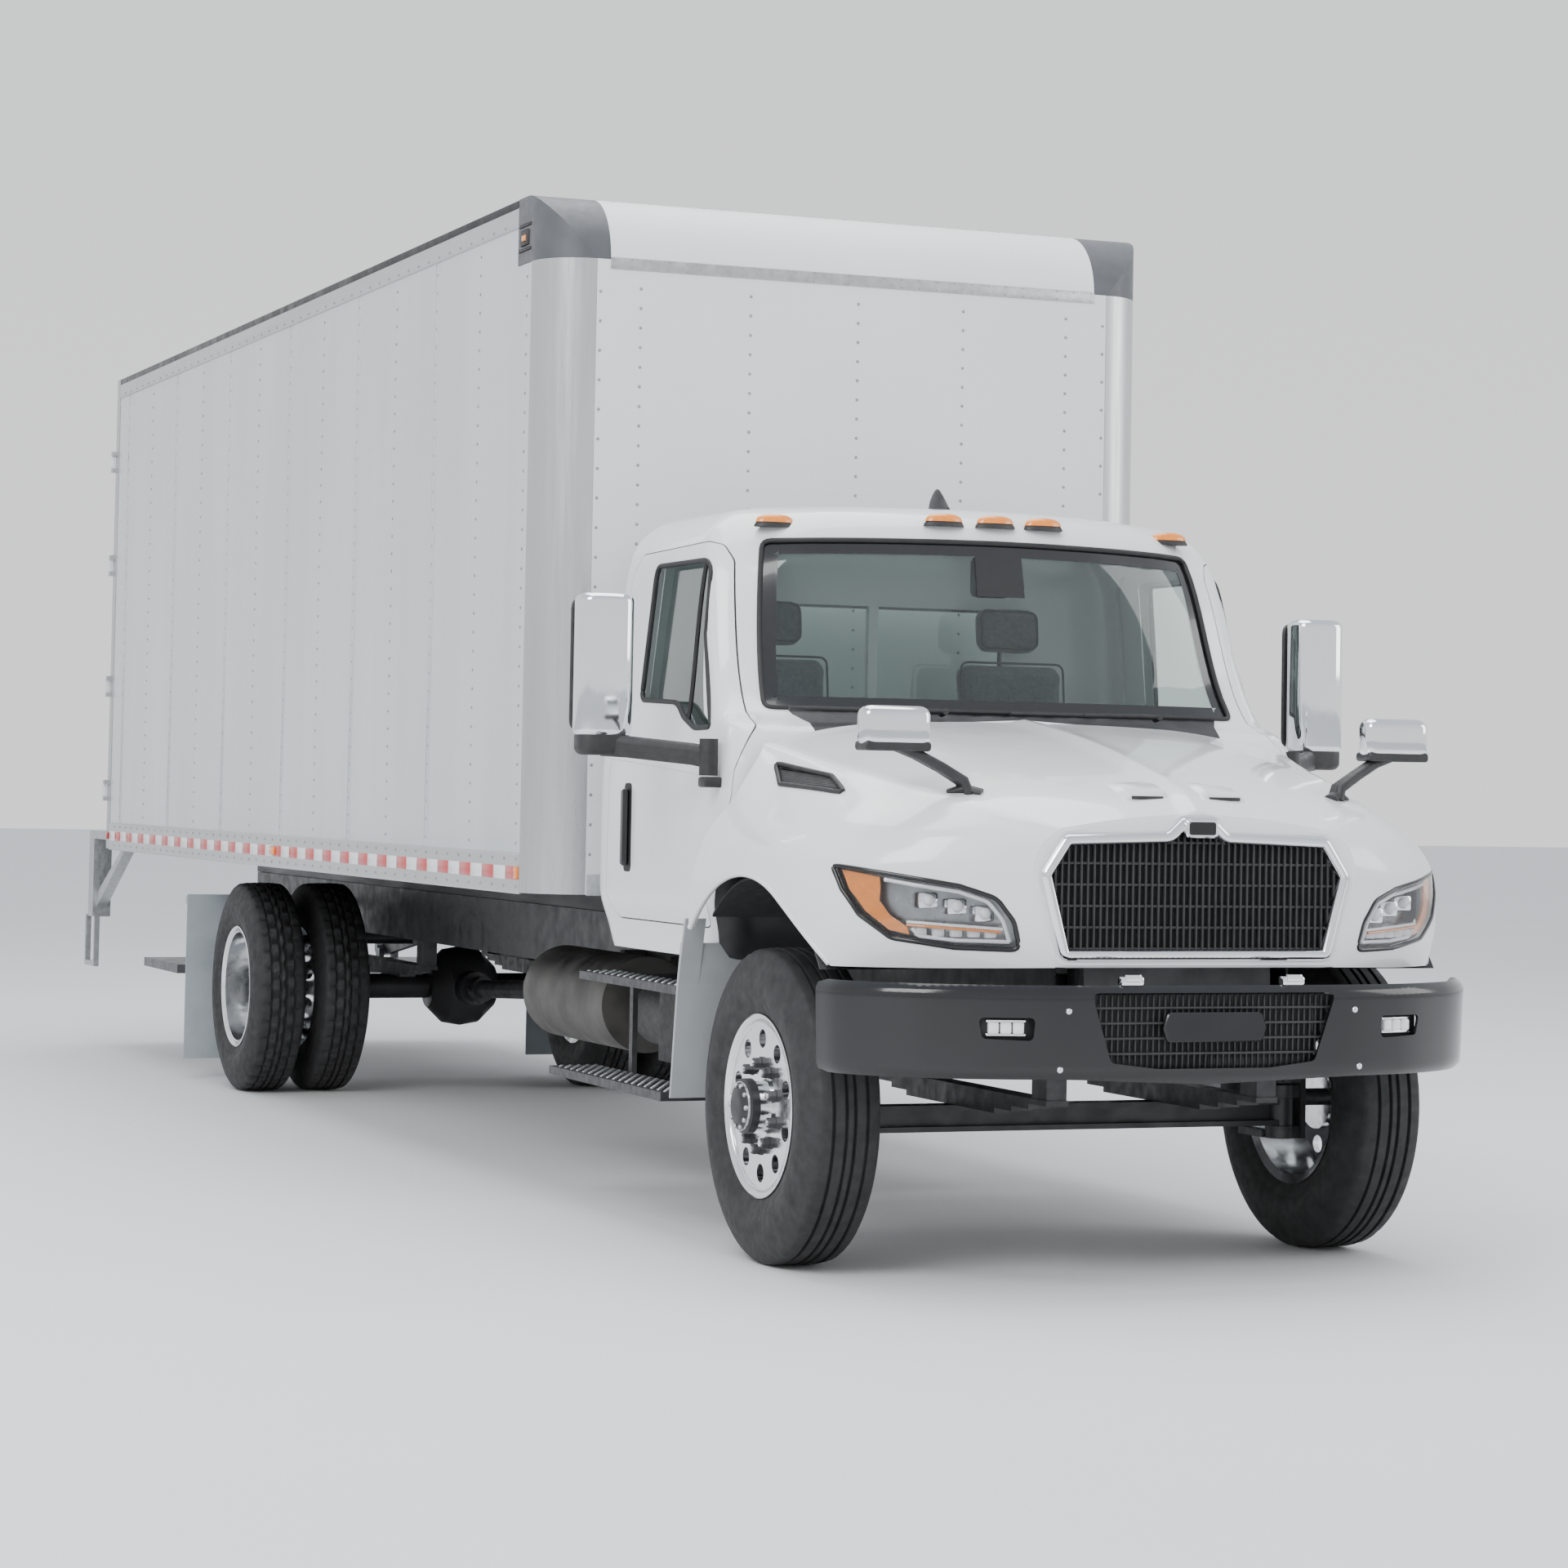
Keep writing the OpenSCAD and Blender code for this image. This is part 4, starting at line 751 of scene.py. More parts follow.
GRILLE = [(-490, 1052), (490, 1052), (566, 1334), (480, 1462), (110, 1474), (60, 1520),
    (-60, 1520), (-110, 1474), (-480, 1462), (-566, 1334)]
grille_line = fillet(GRILLE, [40, 40, 50, 40, 30, 22, 22, 30, 40, 50], 6)
h = Shape()
rows = []
for f, y in ((0, -938), (0, -960), (-5, -972), (-14, -981), (-26, -984), (-36, -978), (-42, -962),
        (-42, -938)):
    ring = offset_outline(grille_line, f)
    rows.append([(p[0], y, p[1]) for p in ring])
vs = [[h.v(p) for p in row] for row in rows]
for i in range(len(vs)):
    for k in range(len(vs[0])):
        j = (k + 1) % len(vs[0])
        a, b = vs[i], vs[(i + 1) % len(vs)]
        h.bm.faces.new((a[k], a[j], b[j], b[k]))
surround = h.make("grille_ring", "hood", "chrome", angle=60)
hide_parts("grille_surround")


def ray_hit(loop, centre, angle):
    """Where a ray from centre leaves an outline."""
    d = Vector((math.cos(angle), math.sin(angle)))
    best = 0.0
    for i in range(len(loop)):
        a, b = Vector(loop[i - 1]) - centre, Vector(loop[i]) - centre
        e = b - a
        den = d.x * e.y - d.y * e.x
        if abs(den) > 1e-9:
            t = (a.x * e.y - a.y * e.x) / den
            k = (a.x * d.y - a.y * d.x) / den
            if t > best and -1e-6 <= k <= 1 + 1e-6:
                best = t
    return centre + d * best


# The painted lip between the surround and the hood's nose
nose = [hood_point(u, -965) for u in np.linspace(0, 6 * HS, 60)]
nose_xz = [(p[0], p[2]) for p in nose] + [(-p[0], p[2]) for p in nose[-2::-1]]
h = Shape()
mid = Vector((0, 1270))
rows = [[], [], [], []]
for k in range(160):
    a = 2 * math.pi * k / 160
    o, i = ray_hit(nose_xz, mid, a), ray_hit(grille_line, mid, a)
    for row, p, y in zip(rows, (o, o * 0.5 + i * 0.5, i - (o - i).normalized() * 3, i), (-964, -969,
            -964, -940)):
        row.append((p.x, y, p.y))
h.grid(rows, caps=False)
h.make("grille_lip", "hood", "white_paint", thick=3)
h = Shape()
inner = offset_outline(grille_line, -38)


def span(loop, x, axis=0):
    """Where a line crosses an outline: lowest and highest of the other coordinate."""
    hits = []
    for i in range(len(loop)):
        a, b = loop[i - 1], loop[i]
        if (a[axis] - x) * (b[axis] - x) <= 0 and a[axis] != b[axis]:
            t = (x - a[axis]) / (b[axis] - a[axis])
            hits.append(a[1 - axis] + t * (b[1 - axis] - a[1 - axis]))
    return (min(hits), max(hits)) if hits else None


for k in range(-23, 24):
    s = span(inner, k * 23.0)
    if s:
        h.box((k * 23 - 3.5, -962, s[0]), (k * 23 + 3.5, -944, s[1]), 1.5)
for k in range(6):
    z = 1095 + k * 68
    s = span(inner, z, 1)
    if s:
        h.box((s[0], -958, z - 4), (s[1], -948, z + 4), 1.5)
mesh = h.make("grille_bars", "hood", "black_plastic")
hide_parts("grille_mesh")
h = Shape()
h.slab(offset_outline(grille_line, -30), "y", -934, -930)
h.make("grille_back", "hood", "rubber_seal")
# A plain rounded plate at the peak of the surround
h = Shape()
h.slab(fillet([(-58, 1452), (58, 1452), (58, 1512), (-58, 1512)], 14, 4), "y", -996, -972, 4)
h.make("plain_badge", "hood", "chrome")
h = Shape()
h.slab(fillet([(-48, 1461), (48, 1461), (48, 1503), (-48, 1503)], 9, 4), "y", -999, -994, 1.5)
h.make("plain_badge_face", "hood", "gloss_black")

# ---- bumper ----------------------------------------------------------------------------

_bump = [(0, -1100), (300, -1100), (450, -1096), (700, -1055), (940, -950), (1080, -830),
    (1160, -700), (1180, -612)]
_blen = [0]
for _a, _b in zip(_bump, _bump[1:]):
    _blen.append(_blen[-1] + math.dist(_a, _b))
_bx, _by = pchip(_blen, [p[0] for p in _bump]), pchip(_blen, [p[1] for p in _bump])


def bumper_point(u, z, lift=0.0):
    s = abs(u)
    x, y = _bx(s), _by(s)
    t = Vector((_bx(min(s + 3, _blen[-1])) - _bx(max(s - 3, 0)),
        _by(min(s + 3, _blen[-1])) - _by(max(s - 3, 0))))
    n = Vector((t.y, -t.x)).normalized()
    q = (z - 690) / 295
    roll = -18 * max(0, 1 - q / 0.10) ** 2 - 22 * max(0, (q - 0.88) / 0.12) ** 2 - 10 * (1 - q)
    d = lift + roll
    return (math.copysign(x + n.x * d, u) if u else 0.0, y + n.y * d, z)


LB = _blen[-1]
low_edge = lambda u: 690 - 24 * max(0, 1 - abs(u) / 500)
outer = [(-LB, 700), (-LB, 975)] + [(u, 985) for u in np.linspace(-LB + 40, LB - 40, 15)] + [
    (LB, 975), (LB, 700)] + [(u, low_edge(u)) for u in np.linspace(LB - 40, -LB + 40, 31)]
lower_grille = fillet([(-440, 962), (440, 962), (366, 742), (200, 722), (-200, 722), (-366, 742)],
    22, 4)
fog_u = bisect(lambda u: _bx(u), 711, 0, LB)
fog = lambda s: fillet([(s * (fog_u - 86), 812), (s * (fog_u + 78), 818), (s * (fog_u + 92), 884),
    (s * (fog_u - 92), 884)], 18, 4)
h = Shape()
patch(h, bumper_point, [outer, lower_grille, fog(1), fog(-1)], 15)
bumper = h.make("bumper_skin", "chassis", "gloss_black", thick=10)
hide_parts("bumper")
h = Shape()
patch(h, lambda u, z: bumper_point(u, z, -50), [offset_outline(lower_grille, 16)], 60)
h.make("lower_grille_back", "chassis", "rubber_seal", thick=3)
h = Shape()
for k in range(-21, 22):
    s = span(lower_grille, k * 21.0)
    if s:
        p = bumper_point(k * 21.0, (s[0] + s[1]) / 2, -26)
        h.box((p[0] - 3, p[1] - 5, s[0] - 4), (p[0] + 3, p[1] + 5, s[1] + 4), 1.5)
for z in (770, 818, 866, 914):
    s = span(lower_grille, z, 1)
    h.box((s[0] - 4, -1082, z - 3.5), (s[1] + 4, -1070, z + 3.5), 1.5)
h.make("lower_grille_bars", "chassis", "black_plastic")
h = Shape()
h.slab(fillet([(-170, 806), (170, 806), (186, 850), (170, 900), (-170, 900), (-186, 850)], 18, 4),
    "y", -1100, -1084, 4)
h.make("bumper_centre_cover", "chassis", "gloss_black")
for side, tag in SIDES:
    c = bumper_point(fog_u, 850, -40)
    turn = Matrix.Rotation(math.atan2(bumper_point(fog_u + 40, 850)[1] - bumper_point(fog_u - 40,
        850)[1], 80), 3, "Z")
    h = Shape(side)
    h.box((c[0] - 104, c[1] - 4, 800), (c[0] + 104, c[1] + 4, 896), 3, turn, (c[0], c[1], 850))
    h.make("fog_back_" + tag, "chassis", "black_plastic")
    h = Shape(side)
    for k in (-1, 0, 1):
        h.box((c[0] - 18 + 40 * k, c[1] - 26, 832), (c[0] + 18 + 40 * k, c[1] - 2, 870), 6, turn,
            (c[0], c[1], 850))
    h.make("fog_lamp_" + tag, "chassis", "lamp_white")
    h = Shape(side)
    h.box((c[0] - 64, c[1] - 20, 868), (c[0] + 64, c[1] - 2, 878), 3, turn, (c[0], c[1], 850))
    h.box((c[0] - 64, c[1] - 20, 824), (c[0] + 64, c[1] - 2, 834), 3, turn, (c[0], c[1], 850))
    h.make("fog_frame_" + tag, "chassis", "chrome")
    # Bolts and the bright hood catches
    h = Shape(side)
    for x, z in ((515, 905), (540, 722)):
        u = bisect(lambda t: _bx(t), x, 0, LB)
        p = bumper_point(u, z, 0)
        q = bumper_point(u, z, 10)
        h.dome(p, (q[0] - p[0], q[1] - p[1], 0), 11, 7, 12)
    h.box((250, -1086, 984), (330, -1052, 1012), 6)
    h.box((262, -1092, 996), (318, -1078, 1020), 5)
    h.make("bumper_fittings_" + tag, "chassis", "chrome")
    h = Shape(side)
    for y in (-1050, -820):
        h.box((370, y, 810), (412, y + 250, 925), 6)
    h.box((-1, -1046, 700), (640, -1010, 760), 8)
    h.make("bumper_arms_" + tag, "chassis", "chassis_black")

# ---- the cab ---------------------------------------------------------------------------

CAB = [  # place along the skin, height, half width, front at the middle, at the pillar, back
    (0, 985, 1066, 560, 560, 1700), (60, 1045, 1074, 500, 505, 1728),
    (215, 1200, 1112, 455, 460, 1745), (345, 1330, 1114, 400, 410, 1745),
    (585, 1560, 1114, 295, 310, 1745), (665, 1640, 1112, 288, 308, 1745),
    (835, 1800, 1092, 345, 372, 1744), (925, 1850, 1083, 432, 500, 1743),
    (1530, 2440, 1018, 572, 780, 1730), (1650, 2530, 972, 602, 832, 1712),
    (1780, 2590, 870, 672, 900, 1675), (2070, 2622, 600, 852, 1060, 1590),
    (2600, 2634, 60, 1100, 1180, 1340)]
_cv = [r[0] for r in CAB]
cab_z, cab_w, cab_c, cab_k, cab_r = [pchip(_cv, [r[i] for r in CAB]) for i in range(1, 6)]
L1, L2, L3, L4 = 1000.0, 170.0, 1180.0, 1100.0
_cab_memo = {}


def cab_ring(v):
    key = round(v, 2)
    if key not in _cab_memo:
        z, w, c, k, r = (f(v) for f in (cab_z, cab_w, cab_c, cab_k, cab_r))
        d = k - c
        xs = [0, 0.35 * w, 0.66 * w, 0.9 * w]
        front = pchip([-0.35 * w] + xs, [c + 0.12 * d, c, c + 0.12 * d, c + 0.42 * d, k])
        slope = (front(0.9 * w) - front(0.88 * w)) / (0.02 * w)
        _cab_memo[key] = (z, w, k, r, front, slope)
    return _cab_memo[key]


def cab_point(u, v, lift=0.0):
    s = abs(u)
    z, w, k, r, front, slope = cab_ring(v)
    run = min(110.0, w * 0.2)
    if s <= L1:
        x = 0.9 * w * s / L1
        y = front(x)
    elif s <= L1 + L2:
        t = (s - L1) / L2
        a = (0.9 * w, k)
        b = (0.9 * w + 0.075 * w, k + 0.075 * w * slope)
        c = (w, k + run * 0.35)
        e = (w, k + run)
        x, y = [(1 - t) ** 3 * a[i] + 3 * t * (1 - t) ** 2 * b[i] + 3 * t * t * (1 - t) * c[i]
            + t ** 3 * e[i] for i in (0, 1)]
    elif s <= L1 + L2 + L3:
        t = (s - L1 - L2) / L3
        x, y = w, k + run + (r - 70 - k - run) * t
    else:
        t = (s - L1 - L2 - L3) / L4
        if t < 0.12:
            a = t / 0.12 * math.pi / 2
            x, y = w - 70 + 70 * math.cos(a), r - 70 + 70 * math.sin(a)
        else:
            x, y = (w - 70) * (1 - (t - 0.12) / 0.88), r
    if lift:
        e = 3.0
        p = [Vector(cab_point(q, m)) for q, m in ((s + e, v), (s - e, v), (s, v + e), (s, v - e))]
        n = (p[0] - p[1]).cross(p[2] - p[3])
        if n.length > 1e-9:
            n.normalize()
            out = Vector((x, y - 1100, (z - 1900) * 0.5))
            if n.dot(out) < 0:
                n = -n
            x, y, z = x + n.x * lift, y + n.y * lift, z + n.z * lift
    return (math.copysign(x, u) if u else 0.0, y, z)


def cab_v(z):
    return bisect(lambda v: cab_z(v), z, 0, 2600)


def cab_u_side(y, v):
    return bisect(lambda u: cab_point(u, v)[1], y, 0, L1 + L2 + L3)


def cab_u_front(x, v):
    return bisect(lambda u: cab_point(u, v)[0], x, 0, L1 + L2)


def side_loop(points):
    return [(cab_u_side(y, cab_v(z)), cab_v(z)) for y, z in points]


door_uv = fillet(side_loop([(566, 1098), (556, 1200), (512, 1310), (430, 1430), (360, 1560),
    (352, 1650)]) + [(1022, 835), (1018, 930), (1020, 1480), (1052, 1545), (1130, 1560)] + side_loop(
    [(1530, 2450), (1600, 2380), (1610, 1180), (1530, 1098)]),
    [30, 120, 120, 120, 60, 60, 60, 60, 60, 30, 60, 60, 90, 90, 90], 5)
window_uv = fillet(side_loop([(600, 1796), (800, 1792), (960, 1888), (1370, 1903), (1352, 2400)])
    + [(1106, cab_v(2400)), (1150, cab_v(2150))], [40, 90, 120, 40, 60, 60, 300], 6)
screen_top = [(cab_u_front(x, cab_v(2470 + 14 * (1 - (x / 845) ** 2))),
    cab_v(2470 + 14 * (1 - (x / 845) ** 2))) for x in np.linspace(0, 845, 14)]
screen_low = [(cab_u_front(x, cab_v(1868)), cab_v(1868)) for x in np.linspace(925, 0, 14)]
screen_half = fillet(screen_top + screen_low, [0] * 13 + [40, 40] + [0] * 13, 4, False)
screen_uv = screen_half[1:] + [(-u, v) for u, v in screen_half[-2::-1]]
UMAX = L1 + L2 + L3 + L4
rear_glass = fillet([(-560, 1800), (560, 1800), (560, 2300), (-560, 2300)], 60, 4)

h = Shape()
rear_uv = []
for x, z in dense(fillet([(20, 1800), (560, 1800), (560, 2300), (20, 2300)], [0, 60, 60, 0], 4), 60):
    v = cab_v(z)
    w = cab_w(v)
    rear_uv.append((L1 + L2 + L3 + L4 * (0.12 + 0.88 * (1 - x / (w - 70))), v))
front_half = screen_half
top_v, low_v = front_half[0][1], front_half[-1][1]
main = [(1110, 0), (L1 + L2, 0), (L1 + L2 + L3, 0), (UMAX, 0), (UMAX, 2598), (L1, 2598),
    (0, 2598), (0, top_v)] + front_half[1:-1] + [(0, low_v), (0, low_v - 6), (870, low_v - 6), (820, 862),
    (780, 650), (1030, 570), (1110, 300)]
door_gap_uv = offset_outline(door_uv, 5)
for side in (1, -1):
    h.flip = side
    patch(h, cab_point, [main, door_gap_uv, rear_uv], 34, flip=side < 0)
cab = h.make("cab_skin", "chassis", "white_paint", thick=-32)
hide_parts("cab_shell")
h = Shape()
for side in (1, -1):
    h.flip = side
    patch(h, cab_point, [[(0, 0), (1110, 0), (1110, 300), (1030, 570), (780, 650), (820, 862),
        (870, low_v - 6), (0, low_v - 6)]], 60)
h.make("firewall", "chassis", "chassis_black", thick=-32)

h = Shape()
h.flip = 1
h.tube([cab_point(u, v, 1) for u, v in dense(screen_uv, 60)], 9, 8, closed=True)
h.make("screen_seal", "chassis", "rubber_seal")
h = Shape()
patch(h, lambda u, v: cab_point(u, v, -7), [screen_uv], 45)
screen = h.make("windscreen_glass", "chassis", "glass", thick=-5)
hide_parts("windscreen")
h = Shape()
band = offset_outline(screen_uv, -58)
patch(h, lambda u, v: cab_point(u, v, -5.5), [offset_outline(screen_uv, -1), band], 40)
h.make("screen_frit", "chassis", "frit")
h = Shape()
patch(h, lambda u, v: cab_point(u, v, -5.4), [[(cab_u_front(95, cab_v(2300)) * s, v) for s, v in (
    (-1, cab_v(2290)), (1, cab_v(2290)), (1, cab_v(2448)), (-1, cab_v(2448)))]], 40)
h.make("screen_camera_patch", "chassis", "frit")
h = Shape()
p = cab_point(0, cab_v(2360), -70)
h.box((-70, p[1] - 30, 2290), (70, p[1] + 60, 2440), 20)
h.make("camera_housing", "chassis", "black_plastic")
h = Shape()
h.slab(rear_glass, "y", 1722, 1727)
h.make("rear_window", "chassis", "glass")
h = Shape()
h.tube([(x, 1742, z) for x, z in dense(rear_glass, 60)], 10, 8, closed=True)
h.make("rear_window_seal", "chassis", "rubber_seal")

# Doors: skin with a window opening, an inner panel and seals
for side, tag in SIDES:
    body = "door_" + tag
    h = Shape(side)
    patch(h, cab_point, [door_uv, window_uv], 36, flip=side < 0)
    skin = h.make("door_skin_" + tag, body, "white_paint", thick=-16)
    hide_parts("door_" + tag)
    h = Shape(side)
    h.tube([cab_point(u, v, -4) for u, v in window_uv], 10, 8, closed=True)
    h.tube([cab_point(u, v, -6) for u, v in side_loop(dense([(852, 1828), (852, 2398)], 60, False))],
        9, 8)
    h.make("door_window_seal_" + tag, body, "rubber_seal")
    h = Shape(side)
    h.tube([cab_point(u, v, -9) for u, v in dense(offset_outline(door_uv, -3), 50)], 7, 8,
        closed=True)
    h.make("door_edge_seal_" + tag, body, "rubber_seal")
    h = Shape(side)
    low = [(610, 1150), (1560, 1150), (1560, 1740), (960, 1740), (800, 1700), (600, 1700),
        (520, 1600), (600, 1250)]
    patch(h, lambda u, v: cab_point(u, v, -84), [side_loop(dense(fillet(low, 60, 4), 50))], 60)
    h.make("door_inner_" + tag, body, "dash_plastic", thick=6)
    # Body crease below the window, and the plate the mirror stands on
    h = Shape(side)
    h.tube([cab_point(u, v, -5) for u, v in side_loop(dense([(520, 1628), (1590, 1690)], 50,
        False))], 9, 8, flat=0.7)
    h.make("door_crease_" + tag, body, "white_paint")
    h = Shape(side)
    h.box((1085, 425, 1585), (1176, 497, 1622), 8)
    h.make("mirror_bracket_" + tag, body, "black_plastic")
    h = Shape(side)
    h.slab(fillet([(1340, 1268), (1424, 1268), (1424, 1597), (1340, 1597)], 24, 5), "x", 1104,
        1114.4, 2)
    h.make("handle_recess_" + tag, body, "rubber_seal")
    h = Shape(side)
    h.slab(fillet([(1364, 1290), (1400, 1290), (1400, 1575), (1364, 1575)], 17, 6), "x", 1115,
        1139, 7)
    grip = h.make("handle_grip_" + tag, "handle_" + tag, "gloss_black")
    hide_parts("handle_" + tag)

# Roof marker lamps and the aerial
h = Shape()
hl = Shape()
for x in (-789, -197, 0, 197, 789):
    v = 1655 if abs(x) > 500 else 1690
    u = cab_u_front(abs(x), v) if x else 0.0
    p = Vector(cab_point(math.copysign(u, x) if x else 0.0, v, 16))
    for s, r in ((h, 1.08), (hl, 1.0)):
        rise = -17 if s is h else 0
        rows = [[(p.x + 68 * r * f * math.cos(a), p.y + 30 * r * f * math.sin(a), p.z - 6 + z + rise)
            for a in [2 * math.pi * k / 20 for k in range(20)]] for f, z in
            ((1.08, 0), (1.05, 8), (0.95, 18), (0.7, 26), (0.3, 29))]
        s.grid(rows)
h.make("marker_bases", "chassis", "black_plastic")
hl.make("marker_lenses", "chassis", "amber_lens")
h = Shape()
rows = []
for t in [k / 8 for k in range(9)]:
    y = 1020 + 160 * t
    hgt = 8 + 84 * math.sin(math.pi * min(0.86, t * 0.62 + 0.1)) ** 2
    wd = 26 * math.sin(math.pi * (0.14 + 0.76 * t)) + 4
    rows.append([(wd * c, y, 2628 + hgt * s) for c, s in ((1, 0), (0.75, 0.35), (0.35, 0.8), (0, 1),
        (-0.35, 0.8), (-0.75, 0.35), (-1, 0))])
h.grid(rows)
h.make("aerial", "chassis", "black_plastic")

# Wiper arms with their blades
WX = {"left": 560, "right": -290}
lean = math.atan2(140, 590)
wn = Vector((0, -math.cos(lean), math.sin(lean)))
for tag, wx in WX.items():
    o = Vector((wx, 415, 1860))
    h = Shape()
    h.tube([o + wn * 2, o + wn * 40], 13, 16)
    h.tube([o + wn * 34, o + wn * 40 + Vector((-60, 0, 0)), o + wn * 30 + Vector((-300, 0, 0))], 8, 8)
    h.tube([o + wn * 30 + Vector((-290, 0, 0)), o + wn * 22 + Vector((-330, 0, 0))], 7, 8)
    h.tube([o + wn * 24 + Vector((-45 - 545 * t, 0, 0)) + wn * (4 * math.sin(math.pi * t))
        for t in [k / 8 for k in range(9)]], 7, 8)
    h.tube([o + wn * 15 + Vector((-45 - 545 * t, 0, 0)) for t in (0, 1)], 3, 6)
    w = h.make("wiper_arm_" + tag, "wiper_" + tag, "black_plastic")
    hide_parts("wiper_" + tag)

# ---- mirrors ---------------------------------------------------------------------------


def pillow(shape, lo, hi, r, crown, segs=6):
    """A box with rounded corners and softly crowned ends along z."""
    rings = [(lo[2] + crown * (1 - math.cos(a)), crown * (1 - math.sin(a))) for a in
        [math.pi / 2 * k / 7 for k in range(8)]]
    rings += [(hi[2] - (z - lo[2]), i) for z, i in reversed(rings)]
    out = []
    for z, i in rings:
        q = [(lo[0] + i, lo[1] + i), (hi[0] - i, lo[1] + i), (hi[0] - i, hi[1] - i),
            (lo[0] + i, hi[1] - i)]
        out.append([(x, y, z) for x, y in fillet(q, max(6, r - i * 0.5), segs)])
    shape.grid(out)


for side, tag in SIDES:
    body = "mirror_" + tag
    h = Shape(side)
    pillow(h, (1330, 706, 1752), (1533, 852, 2262), 62, 30)
    shell = h.make("mirror_shell_" + tag, body, "chrome", angle=60)
    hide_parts(body)
    h = Shape(side)
    h.slab(fillet([(1334, 1775), (1528, 1775), (1528, 2248), (1334, 2248)], 40, 5), "y", 848, 864, 5)
    h.tube([(1431, 780, 1700), (1431, 780, 1770)], 30, 20)
    for off in (-9, 0, 9):
        h.tube([(1152, 462, 1690 + off), (1190, 512, 1700 + off), (1360, 700, 1722 + off),
            (1431, 780, 1727 + off)], 25, 14, flat=1.2)
    pillow(h, (1336, 712, 1692), (1527, 846, 1782), 58, 26)
    h.tube([(1150, 460, 1626), (1150, 460, 1754)], 33, 24)
    h.make("mirror_arm_" + tag, body, "black_plastic")
    for name, z0, z1 in (("flat", 1960, 2240), ("wide", 1783, 1948)):
        h = Shape(side)
        h.slab(fillet([(1345, z0), (1517, z0), (1517, z1), (1345, z1)], 26, 5), "y", 862, 866)
        h.make("mirror_glass_%s_%s" % (name, tag), body, "chrome")
    # Mirror on the hood: chrome head on a black bent arm
    h = Shape(side)
    pillow(h, (806, -672, 1722), (1048, -578, 1860), 42, 34)
    head = h.make("hood_mirror_head_" + tag, "hood", "chrome", angle=60)
    if side > 0:
        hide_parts("hood_mirrors")
    h = Shape(side)
    q = hood_point(hood_u_at_x(-660, 690), -660)
    for off in (-14, 0, 14):
        h.tube([(q[0] - 6, q[1] + off * 1.6, q[2] - 8), (q[0] + 8, q[1] + 4 + off * 1.4, q[2] + 34),
            (770, -645 + off, 1664), (850, -626 + off, 1706), (915, -624 + off, 1730)], 17, 12)
    h.slab(fillet([(812, 1714), (1042, 1714), (1042, 1745), (812, 1745)], 13, 4), "y", -669, -574, 4)
    h.tube([(q[0] - 46, q[1] - 34, q[2] - 4), (q[0], q[1], q[2] + 10), (q[0] + 40, q[1] + 34,
        q[2] - 6)], 26, 12, flat=0.6)
    h.make("hood_mirror_arm_" + tag, "hood", "black_plastic")

# ---- wheels ----------------------------------------------------------------------------


def tyre(shape, cx, cy, drive):
    """Tread with ribs or blocks, grooves, rounded shoulders, sidewall rings and beads."""
    R, W = 527.0, 139.5
    segs = 216 if drive else 144
    half = [(0, R), (8, R), (11, R - 13), (19, R - 13), (22, R), (52, R - 1), (55, R - 13),
        (63, R - 13), (66, R - 1), (95, R - 5), (104, R - 12), (112, R - 24), (121, R - 46),
        (129, R - 70), (133, R - 80), (134, R - 92), (138, R - 104), (W, R - 118), (W - 1, R - 140),
        (133, R - 168), (128, R - 176), (126, R - 184), (121, R - 200), (112, R - 218),
        (104, R - 232), (100, R - 240.5)]
    ring = [(-x, r) for x, r in half[:0:-1]] + half
    rows = []
    for k in range(segs):
        a = 2 * math.pi * k / segs
        row = []
        for x, r in ring:
            if drive and abs(x) <= 112 and r > R - 26:
                phase = (k + (3 if abs(x) < 30 else 0) + (2 if x > 0 else 0)) % 6
                if phase == 0 and abs(x) > 2:
                    r = min(r, R - 14)
            elif not drive and 66 < abs(x) < 112 and k % 6 == 0:
                r = min(r, R - 9)
            row.append((cx + x, cy + r * math.cos(a), WHEEL_Z + r * math.sin(a)))
        rows.append(row)
    vs = [[shape.v(p) for p in row] for row in rows]
    for i in range(segs):
        for k in range(len(ring) - 1):
            a, b = vs[i], vs[(i + 1) % segs]
            shape.bm.faces.new((a[k], a[k + 1], b[k + 1], b[k]))
    inner = [(x * 0.93, r + 4) for x, r in ((100, R - 240.5), (-100, R - 240.5))]
    for i in range(segs):
        a, b = vs[i], vs[(i + 1) % segs]
        shape.bm.faces.new((a[-1], a[0], b[0], b[-1]))


